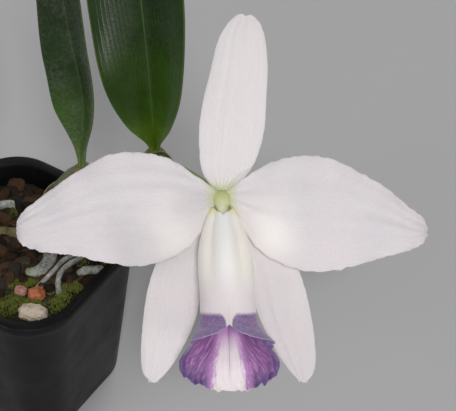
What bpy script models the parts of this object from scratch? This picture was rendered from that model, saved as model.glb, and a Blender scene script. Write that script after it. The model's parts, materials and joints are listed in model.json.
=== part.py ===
"""A potted cattleya orchid with one open bloom, in metres, +Z up.

The origin is the middle of the pot's underside, on the surface it stands on. The bloom faces -Y and upward.
The bloom is modelled in its own flat frame (x right, y up, z out of the face) and tilted by its parent.
"""
import math
import random

import bmesh
import bpy
import numpy as np
from mathutils import Euler, Matrix, Vector

MM = 0.001
CLEARANCE = 0.4 * MM

# The pot: a rounded square, turned so that one corner points between the front and the right
POT_HEIGHT = 80 * MM
POT_TURN = math.radians(-33)
POT_FOOT_HALF = 28 * MM
POT_TOP_HALF = 37.2 * MM
POT_LIP_HALF = 40 * MM
POT_LIP_DEPTH = 4.5 * MM
POT_WALL = 1.6 * MM
POT_FLOOR = 2.2 * MM
CORNER_SHARE = 0.51
POINTS_PER_CORNER = 8
DRAIN_RADIUS = 3.5 * MM
DRAIN_FROM_MIDDLE = 17 * MM

# The potting mix, up to its mean level, and the chips that stand out of it
MIX_LEVEL = 71.5 * MM
CHIP_COUNT = 64
CHIP_SEED = 11

# The bloom's middle, and how far its face is tipped back to look up at the viewer
BLOOM_MIDDLE = (79 * MM, -89.5 * MM, 190 * MM)
BLOOM_TILT = math.radians(45)
PETAL_THICKNESS = 0.8 * MM
SEPAL_THICKNESS = 0.9 * MM
LIP_THICKNESS = 0.7 * MM
LEAF_THICKNESS = 1.4 * MM

# Petal outlines: pairs of points (upper margin, lower margin) from the base to the tip, in the bloom's frame
LEFT_PETAL = MM * np.array([
    [(-3.2, 3.3), (-4.0, -0.6)], [(-8.6, 7.9), (-7.6, -9.0)], [(-16.0, 12.5), (-13.0, -17.0)],
    [(-25.0, 14.4), (-24.0, -19.9)], [(-34.5, 13.6), (-35.0, -19.0)], [(-45.1, 7.9), (-45.1, -16.8)],
    [(-52.6, 2.7), (-53.0, -16.0)], [(-59.8, -2.7), (-59.4, -14.4)], [(-62.3, -5.8), (-62.1, -12.4)],
    [(-62.9, -8.4), (-62.8, -9.8)],
])
RIGHT_PETAL = MM * np.array([
    [(3.2, 3.3), (4.0, -0.6)], [(8.2, 7.7), (8.4, -9.0)], [(15.5, 11.6), (13.4, -17.2)],
    [(24.4, 13.4), (24.0, -21.2)], [(33.5, 12.4), (33.8, -21.3)], [(42.7, 7.9), (42.7, -19.2)],
    [(50.0, 3.7), (50.0, -17.1)], [(57.3, -2.2), (57.3, -15.3)], [(61.4, -5.2), (61.1, -13.6)],
    [(62.8, -8.6), (62.7, -10.4)],
])
PETAL_RISE = MM * np.array([0.7, 1.8, 3.2, 4.0, 3.4, 1.6, -1.0, -3.4])
PETAL_ROLL = 1.6 * MM
PETAL_RUFFLE = 0.45 * MM

# Sepal outlines: pairs of points (left margin, right margin) from the base to the tip
DORSAL_SEPAL = MM * np.array([
    [(-2.2, 3.9), (2.4, 3.9)], [(-5.9, 8.5), (8.2, 8.5)], [(-6.9, 15.0), (11.3, 15.0)],
    [(-6.9, 22.5), (13.0, 22.5)], [(-5.6, 31.0), (13.5, 31.0)], [(-3.4, 40.0), (13.9, 40.0)],
    [(-1.4, 48.2), (13.3, 48.2)], [(1.3, 53.4), (11.6, 53.6)], [(4.2, 56.4), (9.4, 56.2)],
])
LEFT_SEPAL = MM * np.array([
    [(-3.4, 1.0), (-1.3, -1.6)], [(-9.5, -2.5), (-2.8, -6.5)], [(-15.4, -8.5), (-4.0, -12.0)],
    [(-19.6, -17.5), (-5.3, -19.0)], [(-22.8, -27.0), (-6.6, -27.5)], [(-24.4, -37.5), (-8.2, -36.8)],
    [(-25.0, -47.0), (-13.0, -47.0)], [(-24.4, -52.8), (-16.8, -52.6)], [(-22.2, -55.9), (-20.2, -55.9)],
])
RIGHT_SEPAL = MM * np.array([
    [(1.3, -1.6), (3.6, 1.0)], [(3.2, -6.5), (10.2, -2.5)], [(5.0, -12.0), (16.6, -8.5)],
    [(7.1, -19.5), (21.6, -16.8)], [(9.0, -27.5), (25.2, -26.0)], [(11.8, -36.8), (27.7, -37.0)],
    [(17.0, -47.0), (28.8, -47.0)], [(20.8, -52.6), (28.2, -52.8)], [(24.0, -55.9), (26.0, -55.9)],
])
DORSAL_RISE = MM * np.array([-1.0, 0.4, 1.6, 2.0, 1.4, 0.2, -1.6])
LATERAL_RISE = MM * np.array([-3.9, -4.2, -4.4, -4.6, -4.8, -4.6, -4.0])
SEPAL_ROLL = 1.3 * MM

# The lip, rolled into a tube round the column: at each station of its length, where the middle of its
# floor lies (y, z), the radius that rolls its side lobes, and how much flatter the middle lobe lies
LIP_STATIONS = np.array([
    # floor y, floor z, radius, share of the roll left in the middle lobe; lengths in millimetres
    (-3.9, -2.5, 3.2, 1.0), (-8.3, -2.4, 5.0, 1.0), (-13.5, -1.7, 6.5, 1.0), (-18.4, -0.6, 7.6, 1.0),
    (-24.2, 1.4, 8.2, 1.0), (-31.5, 4.6, 8.4, 1.0), (-38.9, 7.7, 8.8, 1.0), (-43.4, 9.2, 9.6, 0.98),
    (-46.2, 10.2, 10.5, 0.8), (-48.4, 11.0, 11.3, 0.5), (-50.6, 11.5, 12.0, 0.22), (-53.0, 11.5, 12.4, 0.0),
    (-55.4, 11.0, 12.6, -0.15), (-58.0, 10.2, 12.8, -0.25),
])
# Where the lip's front margin lies, as the floor's y there, by share of the way from its middle to its seam
LIP_FRONT = np.array([
    (0.0, -57.0), (0.12, -56.9), (0.17, -55.8), (0.22, -55.1), (0.29, -53.9), (0.34, -52.2), (0.37, -50.6),
    (0.40, -48.9), (0.42, -47.6), (0.44, -47.2), (0.50, -47.2), (0.60, -48.0), (0.70, -49.2), (0.80, -49.7),
    (0.90, -49.0), (0.96, -47.6), (1.0, -45.6),
])
LIP_FOOT_OPENING = 1.15
LIP_FOOT_LENGTH = 8.0
LIP_LEAN = MM * np.array([0.2, 0.5, 1.0, 1.6, 2.0, 2.3, 2.3])
LIP_TILT = math.radians(25)
LIP_RUFFLE = 0.8 * MM
LIP_SEAM = 0.5 * MM

# Column: points from its foot to its tip inside the tube, with radii
COLUMN_PATH = MM * np.array([
    (0, 0.7, -3.0), (0, 0.6, -1.4), (0, 0.1, 0.2), (0.1, -1.6, 1.2), (0.2, -4.4, 2.3), (0.5, -9.5, 4.8),
    (0.9, -15.5, 7.6), (1.2, -21.5, 10.2), (1.4, -25.0, 11.8),
])
COLUMN_RADII = MM * np.array([2.2, 2.7, 2.8, 2.2, 2.0, 2.6, 3.1, 3.3, 2.8])
ANTHER_PATH = MM * np.array([(1.45, -25.6, 12.1), (1.5, -27.0, 12.7), (1.5, -28.4, 13.3), (1.5, -29.0, 13.6)])
ANTHER_RADII = MM * np.array([2.5, 2.6, 1.7, 0.6])

# Flower stalk and the sheath round its foot, in the bloom's frame, behind the left petal
STALK_PATH = MM * np.array([
    (0, 0, -5.1), (-1.4, 1.0, -8.4), (-5.0, 4.4, -13.8), (-10.0, 8.0, -20.0), (-14.6, 10.6, -26.5),
    (-18.4, 12.7, -33.5), (-20.6, 13.6, -40.0), (-21.8, 13.15, -45.4),
])
STALK_RADII = MM * np.array([1.7, 2.0, 1.7, 1.4, 1.4, 1.5, 1.6, 1.6])
SHEATH_PATH = MM * np.array([
    (-21.7, 13.25, -45.0), (-21.2, 13.5, -42.4), (-20.2, 13.5, -38.8), (-18.9, 12.9, -35.2),
])
SHEATH_RADIUS = 2.5 * MM

# Pseudobulbs: foot, top, sideways bow and thickest radius, from the newest to the oldest
BULBS = (
    ("pseudobulb_1", (29.4, -2.8), (57.0, -45.6, 167.6), (3.0, 5.0), 7.6),
    ("pseudobulb_2", (7.2, 5.6), (29.4, -20.4, 136.6), (2.0, 4.0), 7.0),
    ("pseudobulb_3", (-14.6, 8.0), (-27.0, 16.0, 128.0), (-3.0, 1.0), 6.6),
    ("pseudobulb_4", (-27.0, -8.6), (-35.5, -16.5, 112.0), (-2.0, -1.0), 5.2),
)
BULB_SHARES = np.array([0.0, 0.05, 0.16, 0.34, 0.54, 0.74, 0.88, 0.96, 1.0])
BULB_SHAPE = np.array([0.40, 0.52, 0.66, 0.90, 1.0, 0.84, 0.62, 0.52, 0.47])
BULB_FURROWS = 7
BULB_FURROW_DEPTH = 0.07
BRACT_SHARE = 0.46
BRACT_START = 3.4 * MM
BRACT_GAP = 1.15 * MM
BRACT_FLARE = 0.4 * MM

# Leaves: middle line from the base, half widths, fold angle of each half, and turn round the middle line
LEAF_SHARES = np.array([0, 0.035, 0.07, 0.15, 0.21, 0.28, 0.4, 0.55, 0.7, 0.84, 0.93, 0.98, 1.0])
LEAVES = (
    ("leaf_1", (56.7, -42.9, 169.9),
     ((0, 0, 0), (-1.5, 3.0, 35), (-4.0, 8.0, 70), (-8.5, 15.5, 104), (-15, 25, 136)),
     (2.4, 5.8, 10.6, 15.6, 17.4, 18.0, 17.9, 17.0, 15.2, 11.6, 7.2, 3.2, 0.8), 11.0),
    ("leaf_2", (29.2, -18.8, 138.6),
     ((0, 0, 0), (1.8, 2.4, 29), (-1.6, 5.5, 58), (-4.2, 10, 87), (-10, 17, 114)),
     (2.2, 3.0, 4.2, 8.6, 11.6, 12.6, 12.3, 10.8, 9.4, 7.2, 4.6, 2.4, 0.8), 35.0),
    ("leaf_3", (-27.3, 16.6, 128.4),
     ((0, 0, 0), (-5, 5, 31), (-13, 12, 61), (-25, 22, 88), (-40, 35, 112)),
     (2.4, 4.2, 7.6, 13.0, 15.4, 15.8, 15.8, 15.2, 13.6, 10.2, 6.4, 3.0, 0.8), -20.0),
)
LEAF_FOLD = np.radians([58, 48, 40, 32, 26, 21, 17, 13, 10])

# Rhizome and roots on top of the mix: points and radius
RHIZOME_LEVEL = 74.0
RHIZOME = (
    (-33, -13.5, RHIZOME_LEVEL), (-27, -8.6, RHIZOME_LEVEL), (-14.6, 8.0, RHIZOME_LEVEL),
    (7.2, 5.6, RHIZOME_LEVEL), (29.4, -2.8, RHIZOME_LEVEL), (34.5, -6.4, RHIZOME_LEVEL - 0.4),
)
RHIZOME_RADIUS = 2.6
BULB_FOOT_LEVEL = RHIZOME_LEVEL + RHIZOME_RADIUS + 0.3
ROOTS = (
    ("root_1", ((11.5, 0.4, 75.2), (11.6, -4.2, 76.0), (10.6, -9.4, 76.0), (7.0, -13.2, 75.4),
                (2.4, -12.8, 75.0)), 2.1),
    ("root_2", ((20.6, -4.3, 75.0), (17.0, -8.0, 76.2), (13.2, -14.0, 76.2), (9.9, -17.8, 75.0),
                (6.6, -19.0, 71.0), (5.0, -19.4, 65.5)), 1.1),
    ("root_3", ((24.0, -6.0, 75.6), (19.4, -11.2, 77.4), (16.0, -16.2, 77.0), (15.6, -21.2, 74.4),
                (16.4, -24.4, 69.0), (17.0, -25.4, 64.5)), 1.3),
    ("root_4", ((31.6, -11.9, 75.0), (29.4, -13.4, 76.4), (26.2, -13.6, 76.4), (22.4, -14.3, 75.2)), 1.7),
    ("root_5", ((-19.0, 13.6, 75.0), (-15.4, 19.6, 76.0), (-7.6, 23.8, 75.0), (0.6, 24.4, 70.0),
                (3.0, 24.6, 65.0)), 1.8),
)

# Loose pieces on the mix: size, place, turn, seed, colour
CHUNKS = (
    ("brick_chunk", (7.4, 6.4, 5.2), (7.6, -24.4, 74.2), 0.35, 3, (0.50, 0.16, 0.07)),
    ("small_brick_chunk", (4.0, 5.4, 4.0), (1.2, -22.2, 74.0), 1.2, 5, (0.52, 0.27, 0.22)),
    ("pale_stone", (12.4, 7.6, 6.4), (6.8, -33.2, 73.6), -0.25, 8, (0.62, 0.56, 0.44)),
)


def collection(name):
    made = bpy.data.collections.new(name)
    bpy.context.scene.collection.children.link(made)
    return made


def material(name, colour, roughness):
    made = bpy.data.materials.new(name)
    made.use_nodes = True
    shader = made.node_tree.nodes["Principled BSDF"]
    shader.inputs["Base Color"].default_value = (*colour, 1)
    shader.inputs["Roughness"].default_value = roughness
    return made


def add_object(name, data, where, finish=None, parent=None):
    made = bpy.data.objects.new(name, data)
    where.objects.link(made)
    made.parent = parent
    if finish:
        data.materials.append(finish)
    if isinstance(data, bpy.types.Mesh):
        data.shade_smooth()
        data.set_sharp_from_angle(angle=math.radians(40))
    return made


def as_cutter(piece):
    """Puts a helper among the cutters, out of the render."""
    piece.hide_render = True
    piece.display_type = "WIRE"
    return piece


def smooth(knots, places):
    """A smooth curve through evenly numbered knots, read at places counted in knots from 0."""
    knots = np.asarray(knots, float)
    padded = np.concatenate([[2 * knots[0] - knots[1]], knots, [2 * knots[-1] - knots[-2]]])
    index = np.clip(np.floor(places).astype(int), 0, len(knots) - 2)
    shape = (-1,) + (1,) * (knots.ndim - 1)
    f = (places - index).reshape(shape)
    p0, p1, p2, p3 = (padded[index + i] for i in range(4))
    bend = 2 * p0 - 5 * p1 + 4 * p2 - p3 + f * (3 * (p1 - p2) + p3 - p0)
    return p1 + 0.5 * f * (p2 - p0 + f * bend)


def along(knots, shares):
    """The same curve, read at shares of its whole length in knots, from 0 to 1."""
    return smooth(knots, np.asarray(shares) * (len(knots) - 1))


def eased(count, ease=0.6):
    """Shares from 0 to 1 that lie closer together near both ends."""
    even = np.linspace(0, 1, count)
    return (1 - ease) * even + ease * (1 - np.cos(math.pi * even)) / 2


def sheet(name, points, thickness, where, finish, parent=None):
    """A thin blade: a grid of points split into triangles, then thickened evenly to both sides."""
    rows, columns = points.shape[:2]
    index = np.arange(rows * columns).reshape(rows, columns)
    a, b, c, d = index[:-1, :-1], index[:-1, 1:], index[1:, 1:], index[1:, :-1]
    corners = np.concatenate([np.stack([a, b, c], -1).reshape(-1, 3), np.stack([a, c, d], -1).reshape(-1, 3)])
    mesh = bpy.data.meshes.new(name)
    mesh.from_pydata(points.reshape(-1, 3).tolist(), [], corners.tolist())
    made = add_object(name, mesh, where, finish, parent)
    thick = made.modifiers.new("thickness", "SOLIDIFY")
    thick.thickness = thickness
    thick.offset = 0
    return made


def loft(name, rings, where, finish=None, parent=None):
    """A closed body through rings of equally many points, with a flat cap on each end."""
    rings = np.asarray(rings)
    count, around = rings.shape[:2]
    index = np.arange(count * around).reshape(count, around)
    following = np.roll(index, -1, axis=1)
    sides = np.stack([index[:-1], following[:-1], following[1:], index[1:]], -1).reshape(-1, 4)
    caps = [index[0, ::-1].tolist(), index[-1].tolist()]
    mesh = bpy.data.meshes.new(name)
    mesh.from_pydata(rings.reshape(-1, 3).tolist(), [], sides.tolist() + caps)
    face_outward(mesh)
    return add_object(name, mesh, where, finish, parent)


def face_outward(mesh):
    shape = bmesh.new()
    shape.from_mesh(mesh)
    bmesh.ops.recalc_face_normals(shape, faces=shape.faces)
    shape.to_mesh(mesh)
    shape.free()


def frames_along(path):
    """A sideways and a second crosswise unit vector at each point of a path, free of twist."""
    tangents = np.gradient(path, axis=0)
    tangents /= np.linalg.norm(tangents, axis=1, keepdims=True)
    side = np.cross(tangents[0], (0, 0, 1) if abs(tangents[0][2]) < 0.9 else (0, 1, 0))
    sides = []
    for tangent in tangents:
        side = side - tangent * side.dot(tangent)
        side = side / np.linalg.norm(side)
        sides.append(side)
    sides = np.array(sides)
    return sides, np.cross(tangents, sides)


def rings_along(path, radii, around, furrows=0, depth=0.0):
    """Circles of points round a path, with an even number of lengthwise furrows where asked."""
    sides, seconds = frames_along(path)
    angles = np.arange(around) * 2 * math.pi / around
    swell = 1 + depth * np.cos(furrows * angles)
    across = np.cos(angles)[None, :, None] * sides[:, None] + np.sin(angles)[None, :, None] * seconds[:, None]
    return path[:, None] + across * (radii[:, None] * swell)[:, :, None]


def tube(name, points, radii, where, finish=None, parent=None):
    """A curve with a round section and filled ends, for stalks and roots."""
    data = bpy.data.curves.new(name, "CURVE")
    data.dimensions = "3D"
    data.bevel_depth = 1.0
    data.bevel_resolution = 2
    data.use_fill_caps = True
    line = data.splines.new("POLY")
    line.points.add(len(points) - 1)
    for spot, point, radius in zip(line.points, points, radii):
        spot.co = (*point, 1)
        spot.radius = radius
    return add_object(name, data, where, finish, parent)


def mesh_from_curve(piece, where):
    """Turns a curve object into a closed mesh object, which a Boolean can use."""
    evaluated = piece.evaluated_get(bpy.context.evaluated_depsgraph_get())
    mesh = bpy.data.meshes.new_from_object(evaluated)
    shape = bmesh.new()
    shape.from_mesh(mesh)
    bmesh.ops.remove_doubles(shape, verts=shape.verts, dist=1e-6)
    shape.to_mesh(mesh)
    shape.free()
    made = bpy.data.objects.new(piece.name + "_solid", mesh)
    made.matrix_world = piece.matrix_world
    where.objects.link(made)
    bpy.data.objects.remove(piece)
    return made


def rounded_square(half, height, turn=POT_TURN):
    """A ring of points: a square of this half side with round corners, turned with the pot."""
    corner = half * CORNER_SHARE
    points = []
    for quarter in range(4):
        for step in range(POINTS_PER_CORNER):
            angle = (quarter + step / (POINTS_PER_CORNER - 1)) * math.pi / 2
            middle = (quarter + 0.5) * math.pi / 2
            reach = (half - corner) * math.sqrt(2)
            x = reach * math.cos(middle) + corner * math.cos(angle)
            y = reach * math.sin(middle) + corner * math.sin(angle)
            points.append((x * math.cos(turn) - y * math.sin(turn),
                           x * math.sin(turn) + y * math.cos(turn), height))
    return points


def pot_half(height):
    """Half the pot's outer side at a height."""
    return POT_FOOT_HALF + (POT_TOP_HALF - POT_FOOT_HALF) * height / POT_HEIGHT


def pot(where, cutters):
    """A tapered plastic pot with a rolled rim and four drain holes."""
    lip = POT_HEIGHT - POT_LIP_DEPTH
    inner_top = POT_TOP_HALF - POT_WALL
    outline = (
        (POT_FOOT_HALF - 1.2 * MM, 0), (POT_FOOT_HALF, 1.2 * MM), (pot_half(lip), lip),
        (POT_LIP_HALF - 0.5 * MM, lip + 0.2 * MM), (POT_LIP_HALF, lip + 0.8 * MM),
        (POT_LIP_HALF, POT_HEIGHT - 0.8 * MM), (POT_LIP_HALF - 0.8 * MM, POT_HEIGHT),
        (inner_top + 0.6 * MM, POT_HEIGHT), (inner_top, POT_HEIGHT - 0.7 * MM),
        (pot_half(POT_FLOOR) - POT_WALL, POT_FLOOR),
    )
    made = loft("pot", [rounded_square(half, height) for half, height in outline], where,
                material("black_plastic", (0.012, 0.012, 0.014), 0.42))
    for quarter in range(4):
        angle = POT_TURN + math.pi / 4 + quarter * math.pi / 2
        bpy.ops.mesh.primitive_cylinder_add(
            vertices=16, radius=DRAIN_RADIUS, depth=4 * POT_FLOOR,
            location=(DRAIN_FROM_MIDDLE * math.cos(angle), DRAIN_FROM_MIDDLE * math.sin(angle), 0))
        cutter = take(bpy.context.object, f"drain_{quarter}", cutters)
        cut(made, cutter)
    return made


def take(piece, name, where):
    """Names a primitive and moves it to a collection."""
    piece.name = name
    for owner in list(piece.users_collection):
        owner.objects.unlink(piece)
    where.objects.link(piece)
    return as_cutter(piece)


def cut(piece, cutter, solver="EXACT"):
    made = piece.modifiers.new("cut " + cutter.name, "BOOLEAN")
    made.operation = "DIFFERENCE"
    made.solver = solver
    made.object = cutter


def bark_chip(rng, name, where):
    """One coarse chip: a box with its corners pushed about, turned at random and part sunk in the mix."""
    reach = POT_TOP_HALF - 9.5 * MM
    x, y = rng.uniform(-reach, reach), rng.uniform(-reach, reach)
    place = Matrix.Rotation(POT_TURN, 4, "Z") @ Vector((x, y, MIX_LEVEL - rng.uniform(0.2, 1.6) * MM))
    half = Vector((rng.uniform(3.2, 6.2), rng.uniform(2.4, 4.4), rng.uniform(1.6, 3.0))) * MM
    turn = Euler((rng.uniform(-0.5, 0.5), rng.uniform(-0.5, 0.5), rng.uniform(0, 6.3))).to_matrix()
    shape = bmesh.new()
    bmesh.ops.create_cube(shape, size=2)
    for corner in shape.verts:
        push = Vector((rng.uniform(0.6, 1.0), rng.uniform(0.6, 1.0), rng.uniform(0.7, 1.0)))
        corner.co = place + turn @ (corner.co * half * push)
    mesh = bpy.data.meshes.new(name)
    shape.to_mesh(mesh)
    shape.free()
    return add_object(name, mesh, where)


def growing_medium(where, cutters, sockets):
    """Coarse potting mix that fills the pot, with plain holes and sockets for all that stands in it."""
    shrink = POT_WALL + CLEARANCE
    levels = (POT_FLOOR + CLEARANCE, 0.5 * MIX_LEVEL, MIX_LEVEL)
    rings = [rounded_square(pot_half(level) - shrink, level) for level in levels]
    rings.append(rounded_square(pot_half(MIX_LEVEL) - shrink - 5 * MM, MIX_LEVEL + 1.0 * MM))
    made = loft("growing_medium", rings, where, material("potting_mix", (0.085, 0.055, 0.032), 0.95))
    rng = random.Random(CHIP_SEED)
    chips = collection("chips")
    for number in range(CHIP_COUNT):
        bark_chip(rng, f"chip_{number}", chips)
    join = made.modifiers.new("chips", "BOOLEAN")
    join.operation = "UNION"
    join.solver = "EXACT"
    join.operand_type = "COLLECTION"
    join.collection = chips
    apply_modifiers(made)
    for chip in list(chips.objects):
        bpy.data.objects.remove(chip)
    bpy.data.collections.remove(chips)
    for socket in sockets:
        cut(made, socket, "MANIFOLD")
    return made


def apply_modifiers(piece):
    """Replaces an object's mesh by what its modifiers make of it."""
    mesh = bpy.data.meshes.new_from_object(piece.evaluated_get(bpy.context.evaluated_depsgraph_get()))
    piece.modifiers.clear()
    piece.data = mesh


def chunk(name, size, place, turn, seed, colour, where, grow=0.0):
    """A loose lump: a round-cornered box with seeded dents, made larger by grow for its socket."""
    rng = random.Random(seed)
    shape = bmesh.new()
    bmesh.ops.create_icosphere(shape, subdivisions=2, radius=1)
    spin = Matrix.Rotation(turn, 3, "Z")
    for corner in shape.verts:
        squared = Vector([math.copysign(abs(v) ** 0.62, v) for v in corner.co])
        dent = 1 - rng.uniform(0, 0.14)
        stretched = Vector([v * (0.5 * s * MM * dent + grow) for v, s in zip(squared, size)])
        corner.co = Vector(place) * MM + spin @ stretched
    mesh = bpy.data.meshes.new(name)
    shape.to_mesh(mesh)
    shape.free()
    return add_object(name, mesh, where, material(name, colour, 0.9) if colour else None)


def bulb_axis(foot, top, bow, count):
    """A slightly bowed line from the foot of a pseudobulb to its top."""
    foot, top = np.array(foot), np.array(top)
    share = np.linspace(0, 1, count)[:, None]
    side = np.array([bow[0], bow[1], 0.0])
    return MM * (foot + (top - foot) * share + side * np.sin(math.pi * share))


def pseudobulb(name, foot, top, bow, radius, where, finish):
    """A club-shaped stem with blunt lengthwise furrows, widest above its middle."""
    share = np.array([0, 0.04, 0.09, 0.16, 0.26, 0.38, 0.5, 0.62, 0.74, 0.84, 0.92, 0.97, 1.0])
    line = bulb_axis(foot, top, bow, 25)
    path = smooth(line, share * 24)
    radii = MM * radius * np.interp(share, BULB_SHARES, BULB_SHAPE)
    rings = rings_along(path, radii, 14, BULB_FURROWS, BULB_FURROW_DEPTH)
    rings[0, :, 2] = path[0, 2]
    return loft(name, rings, where, finish)


def bract(name, foot, top, bow, radius, where, finish):
    """A dry papery sheath round the lower part of a pseudobulb, slit down one side, with a slanted tip."""
    line = bulb_axis(foot, top, bow, 25)
    across = np.linspace(0.12, 2 * math.pi - 0.12, 12)
    low = BRACT_START / np.linalg.norm(line[-1] - line[0])
    high = BRACT_SHARE * (0.62 + 0.38 * np.sin(across / 2))
    rows = []
    for step in np.linspace(0, 1, 6):
        reach = low + (high - low) * step
        centre = smooth(line, reach * 24)
        sides, seconds = frames_along(line)
        side = smooth(sides, reach * 24)
        second = smooth(seconds, reach * 24)
        stem = MM * radius * np.interp(reach, BULB_SHARES, BULB_SHAPE) * (1 + BULB_FURROW_DEPTH)
        wide = (stem + BRACT_GAP + BRACT_FLARE * step)[:, None]
        rows.append(centre + wide * (np.cos(across)[:, None] * side + np.sin(across)[:, None] * second))
    return sheet(name, np.array(rows), 0.6 * MM, where, finish)


def leaf(name, base, line, half_widths, turn, where, finish):
    """A thick channelled leaf: both halves fold up from the middle line, less toward the tip."""
    share = np.concatenate([[0, 0.035, 0.07], np.linspace(0.11, 0.93, 13), [0.965, 0.988, 1.0]])
    middle = MM * (np.array(base) + along(np.array(line), share))
    tangents = np.gradient(middle, axis=0)
    tangents /= np.linalg.norm(tangents, axis=1, keepdims=True)
    side = np.array([1.0, 0, 0]) - tangents * tangents[:, :1]
    side /= np.linalg.norm(side, axis=1, keepdims=True)
    normal = np.cross(side, tangents)
    turned = math.radians(turn)
    side, normal = (side * math.cos(turned) + normal * math.sin(turned),
                    normal * math.cos(turned) - side * math.sin(turned))
    wide = MM * np.interp(share, LEAF_SHARES, half_widths)
    fold = along(LEAF_FOLD, share)
    across = np.array([-1, -0.7, -0.35, 0, 0.35, 0.7, 1])
    lift = np.sqrt(across ** 2 + 0.02) - math.sqrt(0.02)
    points = (middle[:, None]
              + side[:, None] * (across * (wide * np.cos(fold))[:, None])[:, :, None]
              + normal[:, None] * (lift * (wide * np.sin(fold))[:, None])[:, :, None])
    return sheet(name, points, LEAF_THICKNESS, where, finish)


def flat_blade(pairs, rise, roll, ruffle, rows, columns, waves):
    """Points of a petal or sepal: straight across between its margins, with an arched length,
    margins rolled back, and a small wave that grows toward the margins."""
    share = eased(rows)
    margins = along(pairs, share)
    across = np.linspace(-1, 1, columns)
    mix = (across + 1)[None, :, None] / 2
    flat = margins[:, :1] * (1 - mix) + margins[:, 1:] * mix
    rolled_back = roll * across[None, :] ** 2 * np.sin(math.pi * share)[:, None] ** 0.5
    height = along(rise, share)[:, None] - rolled_back
    wave = ruffle * np.abs(across[None, :]) ** 3 * np.sin(waves * share[:, None] + 1.7 * across[None, :])
    return np.concatenate([flat, (height + wave)[:, :, None]], axis=2)


def rolled(across, bend):
    """Sideways and upward run of an arc of this curvature that starts level."""
    bend = np.where(np.abs(bend) < 1e-3, 1e-3, bend)
    return np.sin(bend * across) / bend, (1 - np.cos(bend * across)) / bend


def lip_points(rows, columns):
    """Points of the lip: at each station of its floor an arc rolls up to the seam, and past the notch
    between side lobe and middle lobe the middle lobe lies flatter than the side lobes."""
    sigma = np.sign(np.linspace(-1, 1, columns)) * np.abs(np.linspace(-1, 1, columns)) ** 0.9
    front = np.interp(np.abs(sigma), LIP_FRONT[:, 0], LIP_FRONT[:, 1])
    stations = along(LIP_STATIONS, np.linspace(0, 1, 200))
    foot = stations[0, 0]
    floor_y = foot + (front - foot)[None, :] * (np.linspace(0, 1, rows) ** 0.85)[:, None]
    depth, radius, flat = (np.interp(-floor_y, -stations[:, 0], stations[:, k]) for k in (1, 2, 3))
    opening = LIP_FOOT_OPENING * np.clip(1 - (foot - floor_y) / LIP_FOOT_LENGTH, 0, 1) ** 2
    across = sigma * ((math.pi - opening) * radius - LIP_SEAM / MM / 2)
    side_x, side_up = rolled(across, 1 / radius)
    middle_x, middle_up = rolled(across, flat / radius)
    blend = np.clip((np.abs(sigma) - 0.40) / 0.06, 0, 1)
    ruffle = np.clip((foot - floor_y - 41) / 10, 0, 1) * (across / 15) ** 2 * np.sin(0.95 * across + 1.0)
    sideways = middle_x + (side_x - middle_x) * blend
    up = middle_up + (side_up - middle_up) * blend + (1 - blend) * ruffle * LIP_RUFFLE / MM
    lean = np.interp(-floor_y, np.linspace(-foot, 57, len(LIP_LEAN)), LIP_LEAN / MM)
    return MM * np.stack([
        lean + sideways,
        floor_y + up * math.sin(LIP_TILT),
        depth + up * math.cos(LIP_TILT),
    ], axis=-1)


def bloom(where):
    """The flower: three sepals, two petals, the lip rolled round the column, and the anther cap."""
    face = bpy.data.objects.new("bloom_face", None)
    where.objects.link(face)
    face.location = BLOOM_MIDDLE
    face.rotation_euler = (BLOOM_TILT, 0, 0)
    white = material("petal_white", (0.86, 0.84, 0.86), 0.55)
    sheet("dorsal_sepal", flat_blade(DORSAL_SEPAL, DORSAL_RISE, SEPAL_ROLL, 0.2 * MM, 18, 8, 11),
          SEPAL_THICKNESS, where, white, face)
    sheet("lateral_sepal_left", flat_blade(LEFT_SEPAL, LATERAL_RISE, SEPAL_ROLL, 0.15 * MM, 18, 8, 9),
          SEPAL_THICKNESS, where, white, face)
    sheet("lateral_sepal_right", flat_blade(RIGHT_SEPAL, LATERAL_RISE, SEPAL_ROLL, 0.15 * MM, 18, 8, 10),
          SEPAL_THICKNESS, where, white, face)
    sheet("petal_left", flat_blade(LEFT_PETAL, PETAL_RISE, PETAL_ROLL, PETAL_RUFFLE, 24, 11, 38),
          PETAL_THICKNESS, where, white, face)
    sheet("petal_right", flat_blade(RIGHT_PETAL, PETAL_RISE, PETAL_ROLL, PETAL_RUFFLE, 24, 11, 35),
          PETAL_THICKNESS, where, white, face)
    sheet("lip", lip_points(26, 29), LIP_THICKNESS, where, material("lip", (0.62, 0.50, 0.68), 0.5), face)
    green = material("column_green", (0.62, 0.68, 0.42), 0.45)
    loft("column", rings_along(COLUMN_PATH, COLUMN_RADII, 14), where, green, face)
    loft("anther_cap", rings_along(ANTHER_PATH, ANTHER_RADII, 12), where,
         material("anther", (0.8, 0.7, 0.8), 0.5), face)
    stalk_green = material("stalk_green", (0.16, 0.24, 0.07), 0.45)
    share = np.linspace(0, 1, 18)
    tube("flower_stalk", along(STALK_PATH, share), along(STALK_RADII, share), where, stalk_green, face)
    flower_sheath(where, material("sheath_green", (0.20, 0.22, 0.09), 0.6), face)


def flower_sheath(where, finish, face):
    """The folded sheath that the stalk grew out of, open along one side and pointed."""
    path = along(SHEATH_PATH, np.linspace(0, 1, 9))
    sides, seconds = frames_along(path)
    share = np.linspace(0, 1, 9)
    wrap = np.linspace(-1, 1, 11)
    half_turn = (2.75 - 1.9 * share ** 2)[:, None] * wrap[None, :] + 2.2
    radius = SHEATH_RADIUS * (1 + 0.1 * share)[:, None, None]
    points = path[:, None] + radius * (np.cos(half_turn)[:, :, None] * sides[:, None]
                                       + np.sin(half_turn)[:, :, None] * seconds[:, None])
    return sheet("flower_sheath", points, 0.6 * MM, where, finish, face)


def root_points(points):
    return MM * along(np.array(points, float), np.linspace(0, 1, 3 * len(points) - 2))


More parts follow.
